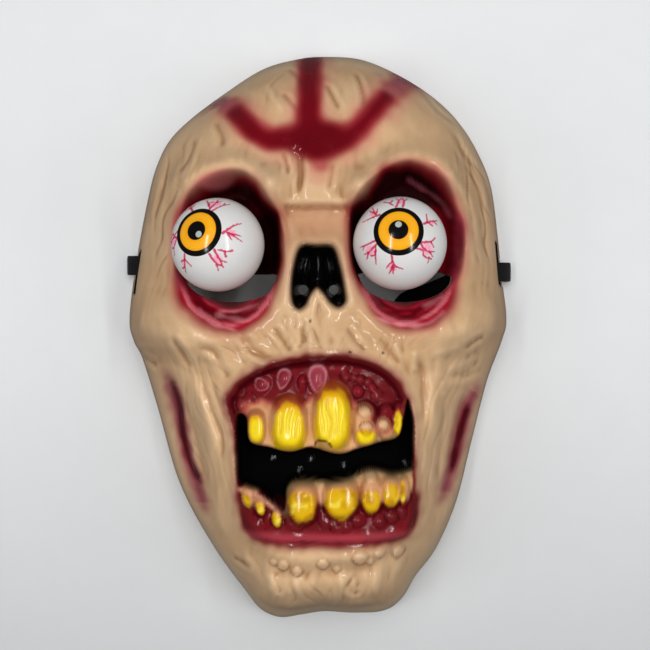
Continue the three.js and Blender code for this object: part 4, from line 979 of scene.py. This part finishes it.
def strap():
    """Elastic band: the run on the ground that climbs to a slot at each side, and at each side the end that
    comes out of the slot, turns down round the rim and lies back under it."""
    low, thick = BAND_THICK / 2, BAND_THICK
    bottom = SLOT_LOW + 0.4 + thick / 2
    run = [
        (-72.4, 31.6), (-70.2, 27), (-68.6, 20), (-65, 11), (-58, 1), (-47, -10), (-33, -20), (-18, -26.5),
        (-2, -28.5), (13, -26), (26, -19), (34, -9), (37.6, 2), (38.6, 10), (40.6, 15.6), (45, 18.8),
        (51, 20.8), (60, 24.4), (66, 27.2), (72.4, 29.8)]

    def climb(sign, y):
        return [
            (sign * 88, y, bottom), (sign * 84.5, y, bottom - 0.25), (sign * 81.5, y, bottom - 1.5),
            (sign * 79, y - 0.1, bottom - 3.2), (sign * 76.8, y - 0.4, bottom - 5.3),
            (sign * 74.6, y - 1, low + 0.75)]

    left, right = SIDES
    path = climb(-1, left["y"]) + [(x, y, low) for x, y in run] + climb(1, right["y"])[::-1]
    parts = [ribbon(resample(path, 1.6))]
    for side in SIDES:
        sign, y, rim = side["sign"], side["y"], side["rim"]
        out, under = BOW - thick / 2, 0.3 + thick / 2
        bend = [
            (87.6, bottom), (89.8, bottom - 0.15), (out - 0.6, bottom - 0.9), (out - 0.1, bottom - 2.2),
            (out, bottom - 3.8), (out - 0.1, under + 2.2), (out - 0.9, under + 0.7),
            (out - 2.2, under + 0.05), (rim - 2, under), (83, low), (78, low), (72.5, low)]
        parts.append(ribbon(resample([(sign * x, y, z) for x, z in bend], 0.6), across=(0, -sign, 0)))
    made = new_object("elastic_band", *merged([part[:2] for part in parts]), 50)
    made.data.uv_layers.new(name="weave")
    corners = np.zeros(len(made.data.loops), np.int32)
    made.data.loops.foreach_get("vertex_index", corners)
    uv = np.vstack([part[2] for part in parts])[corners]
    made.data.uv_layers["weave"].data.foreach_set("uv", uv.astype(np.float32).ravel())
    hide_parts("strap")
    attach(made, "root")
    return made


band = strap()
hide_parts("mask_shell")
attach(shell, "root")


def feed(tree, node, inputs):
    """Sets a node's inputs: a socket is linked, anything else is the input's own value."""
    for name, value in dict(inputs).items():
        if isinstance(value, bpy.types.NodeSocket):
            tree.links.new(value, node.inputs[name])
        else:
            node.inputs[name].default_value = value


def add(tree, kind, inputs=(), **settings):
    """New node with its settings and inputs."""
    node = tree.nodes.new("ShaderNode" + kind)
    for name, value in settings.items():
        setattr(node, name, value)
    feed(tree, node, inputs)
    return node


def maths(tree, operation, *values):
    """One sum on values that vary over the surface."""
    return add(tree, "Math", enumerate(values), operation=operation).outputs[0]


def scaled(tree, colour, by):
    """Colour times a value."""
    return add(tree, "VectorMath", {0: colour, "Scale": by}, operation="SCALE").outputs[0]


def dented(tree, strength, distance, height):
    """Normal tilted by the slope of a height."""
    inputs = {"Strength": strength, "Distance": distance, "Height": height}
    return add(tree, "Bump", inputs).outputs["Normal"]


def between(tree, value, from_min, from_max, to_min, to_max, **settings):
    """Value carried from one range to another."""
    inputs = {"Value": value, "From Min": from_min, "From Max": from_max, "To Min": to_min, "To Max": to_max}
    return add(tree, "MapRange", inputs, **settings).outputs[0]


def new_material(name):
    """Material, its nodes and its shader."""
    material = bpy.data.materials.new(name)
    material.use_nodes = True
    return material, material.node_tree, material.node_tree.nodes["Principled BSDF"]


def grain_group():
    """Fine unevenness of moulded plastic: noise of one size, as a value about one and as a height."""
    group = bpy.data.node_groups.new("fine_grain", "ShaderNodeTree")
    for name, way in (("Size", "INPUT"), ("Depth", "INPUT"), ("Value", "OUTPUT"), ("Height", "OUTPUT")):
        group.interface.new_socket(name, in_out=way, socket_type="NodeSocketFloat")
    given, made = group.nodes.new("NodeGroupInput").outputs, group.nodes.new("NodeGroupOutput")
    place = add(group, "TexCoord").outputs["Object"]
    noise = add(group, "TexNoise", {"Vector": place, "Scale": given["Size"], "Detail": 3.0}).outputs["Fac"]
    spread = maths(group, "MULTIPLY", maths(group, "SUBTRACT", noise, 0.5), given["Depth"])
    feed(group, made, {"Value": maths(group, "ADD", spread, 1.0), "Height": noise})
    return group


grain = grain_group()


def grained(tree, size, depth):
    """The fine grain in a material, of its own size and depth."""
    return add(tree, "Group", {"Size": size, "Depth": depth}, node_tree=grain).outputs


def painted(name, size, depth, bump, own_gloss=False):
    """Glossy moulded plastic with its colour on the mesh: grain varies the colour, roughness and surface a
    little. The face also has its own gloss on the mesh, as the weight of a clear coat."""
    material, tree, shader = new_material(name)
    speck = grained(tree, size, depth)
    colour = add(tree, "Attribute", attribute_name="paint").outputs["Color"]
    feed(tree, shader, {
        "Base Color": scaled(tree, colour, speck["Value"]),
        "Roughness": maths(tree, "MULTIPLY", PLASTIC_ROUGHNESS, speck["Value"]),
        "Normal": dented(tree, bump, 0.0003, speck["Height"])})
    if own_gloss:
        gloss = add(tree, "Attribute", attribute_name="gloss").outputs["Fac"]
        feed(tree, shader, {
            "Coat Weight": gloss, "Coat Roughness": PLASTIC_ROUGHNESS, "Specular IOR Level": 0})
    return material


def elastic():
    """Black knitted elastic: ribs along the band, crossed by fine rows, from the band's own map in mm."""
    material, tree, shader = new_material("black_elastic")
    place = add(tree, "SeparateXYZ", {0: add(tree, "UVMap", uv_map="weave").outputs["UV"]}).outputs
    waves = [maths(tree, "SINE", maths(tree, "MULTIPLY", place[axis], 2 * np.pi / pitch))
             for axis, pitch in (("X", 0.75), ("Y", 1.0))]
    both = maths(tree, "ADD", *waves)
    feed(tree, shader, {
        "Base Color": between(tree, both, -2, 2, 0.003, 0.010), "Normal": dented(tree, 0.6, 0.0002, both),
        "Roughness": 0.8, "Sheen Weight": 0.1})
    return material


def floor_material():
    """Matt pale table with a faint mottling, darker towards the chin as a painted shadow."""
    material, tree, shader = new_material("pale_table")
    place = add(tree, "SeparateXYZ", {0: add(tree, "TexCoord").outputs["Object"]}).outputs["Y"]
    # Darker towards the chin: painted shadow.
    fall = between(tree, place, -0.24, 0.06, 0.70, 1.0, interpolation_type="SMOOTHSTEP")
    both = maths(tree, "MULTIPLY", grained(tree, 60, 0.04)["Value"], fall)
    feed(tree, shader, {"Base Color": scaled(tree, (0.715, 0.73, 0.74), both), "Roughness": 0.6})
    return material


shell.data.materials.clear()
shell.data.materials.append(painted("painted_skin", 700, 0.10, 0.04, True))
printed = painted("printed_ball", 300, 0.04, 0.02)
for ball in balls:
    ball.data.materials.append(printed)
band.data.materials.append(elastic())

TABLE_HALF = 3000
corners = [(x * TABLE_HALF, y * TABLE_HALF, 0) for x, y in ((-1, -1), (1, -1), (1, 1), (-1, 1))]
table = new_object("table", corners, [(0, 1, 2, 3)])
table.location.z = -0.0002
table.data.materials.append(floor_material())
table.visible_glossy = False


def soft_box(name, place, size, watts, mirrored=False):
    """Rectangular lamp turned to face the mask. The large ones only shade it; the narrow mirrored ones are
    the lamps seen in its gloss."""
    lamp = bpy.data.lights.new(name, "AREA")
    lamp.shape, lamp.energy = "RECTANGLE", watts
    lamp.size, lamp.size_y = size
    obj = add_object(name, lamp, place)
    obj.rotation_mode = "QUATERNION"
    obj.rotation_quaternion = (Vector((0, 0, 0.04)) - Vector(place)).to_track_quat("-Z", "Y")
    obj.visible_glossy = mirrored


soft_box("ceiling_light", (0.05, 0.36, 1.55), (0.9, 0.6), 7.5)
soft_box("left_light", (-1.05, -0.25, 0.95), (0.5, 0.9), 5.0)
soft_box("right_light", (1.05, -0.25, 0.95), (0.5, 0.9), 4.7)
soft_box("left_tube", (-0.50, 0.05, 1.20), (0.85, 0.03), 4.0, True)
soft_box("right_tube", (0.55, 0.05, 1.20), (0.85, 0.03), 4.0, True)
soft_box("crown_light", (0.03, 0.62, 1.20), (0.7, 0.2), 2.0)
world = bpy.data.worlds.new("room")
world.use_nodes = True
feed(world.node_tree, world.node_tree.nodes["Background"], {"Color": (0.93, 0.96, 1.0, 1), "Strength": 0.06})
bpy.context.scene.world = world

bpy.context.scene.view_settings.view_transform = "Standard"
camera = add_object("camera", bpy.data.cameras.new("camera"), (0.0029, 0.0058, 0.620))
camera.data.sensor_width = 36
camera.data.lens = 70.8
bpy.context.scene.camera = camera
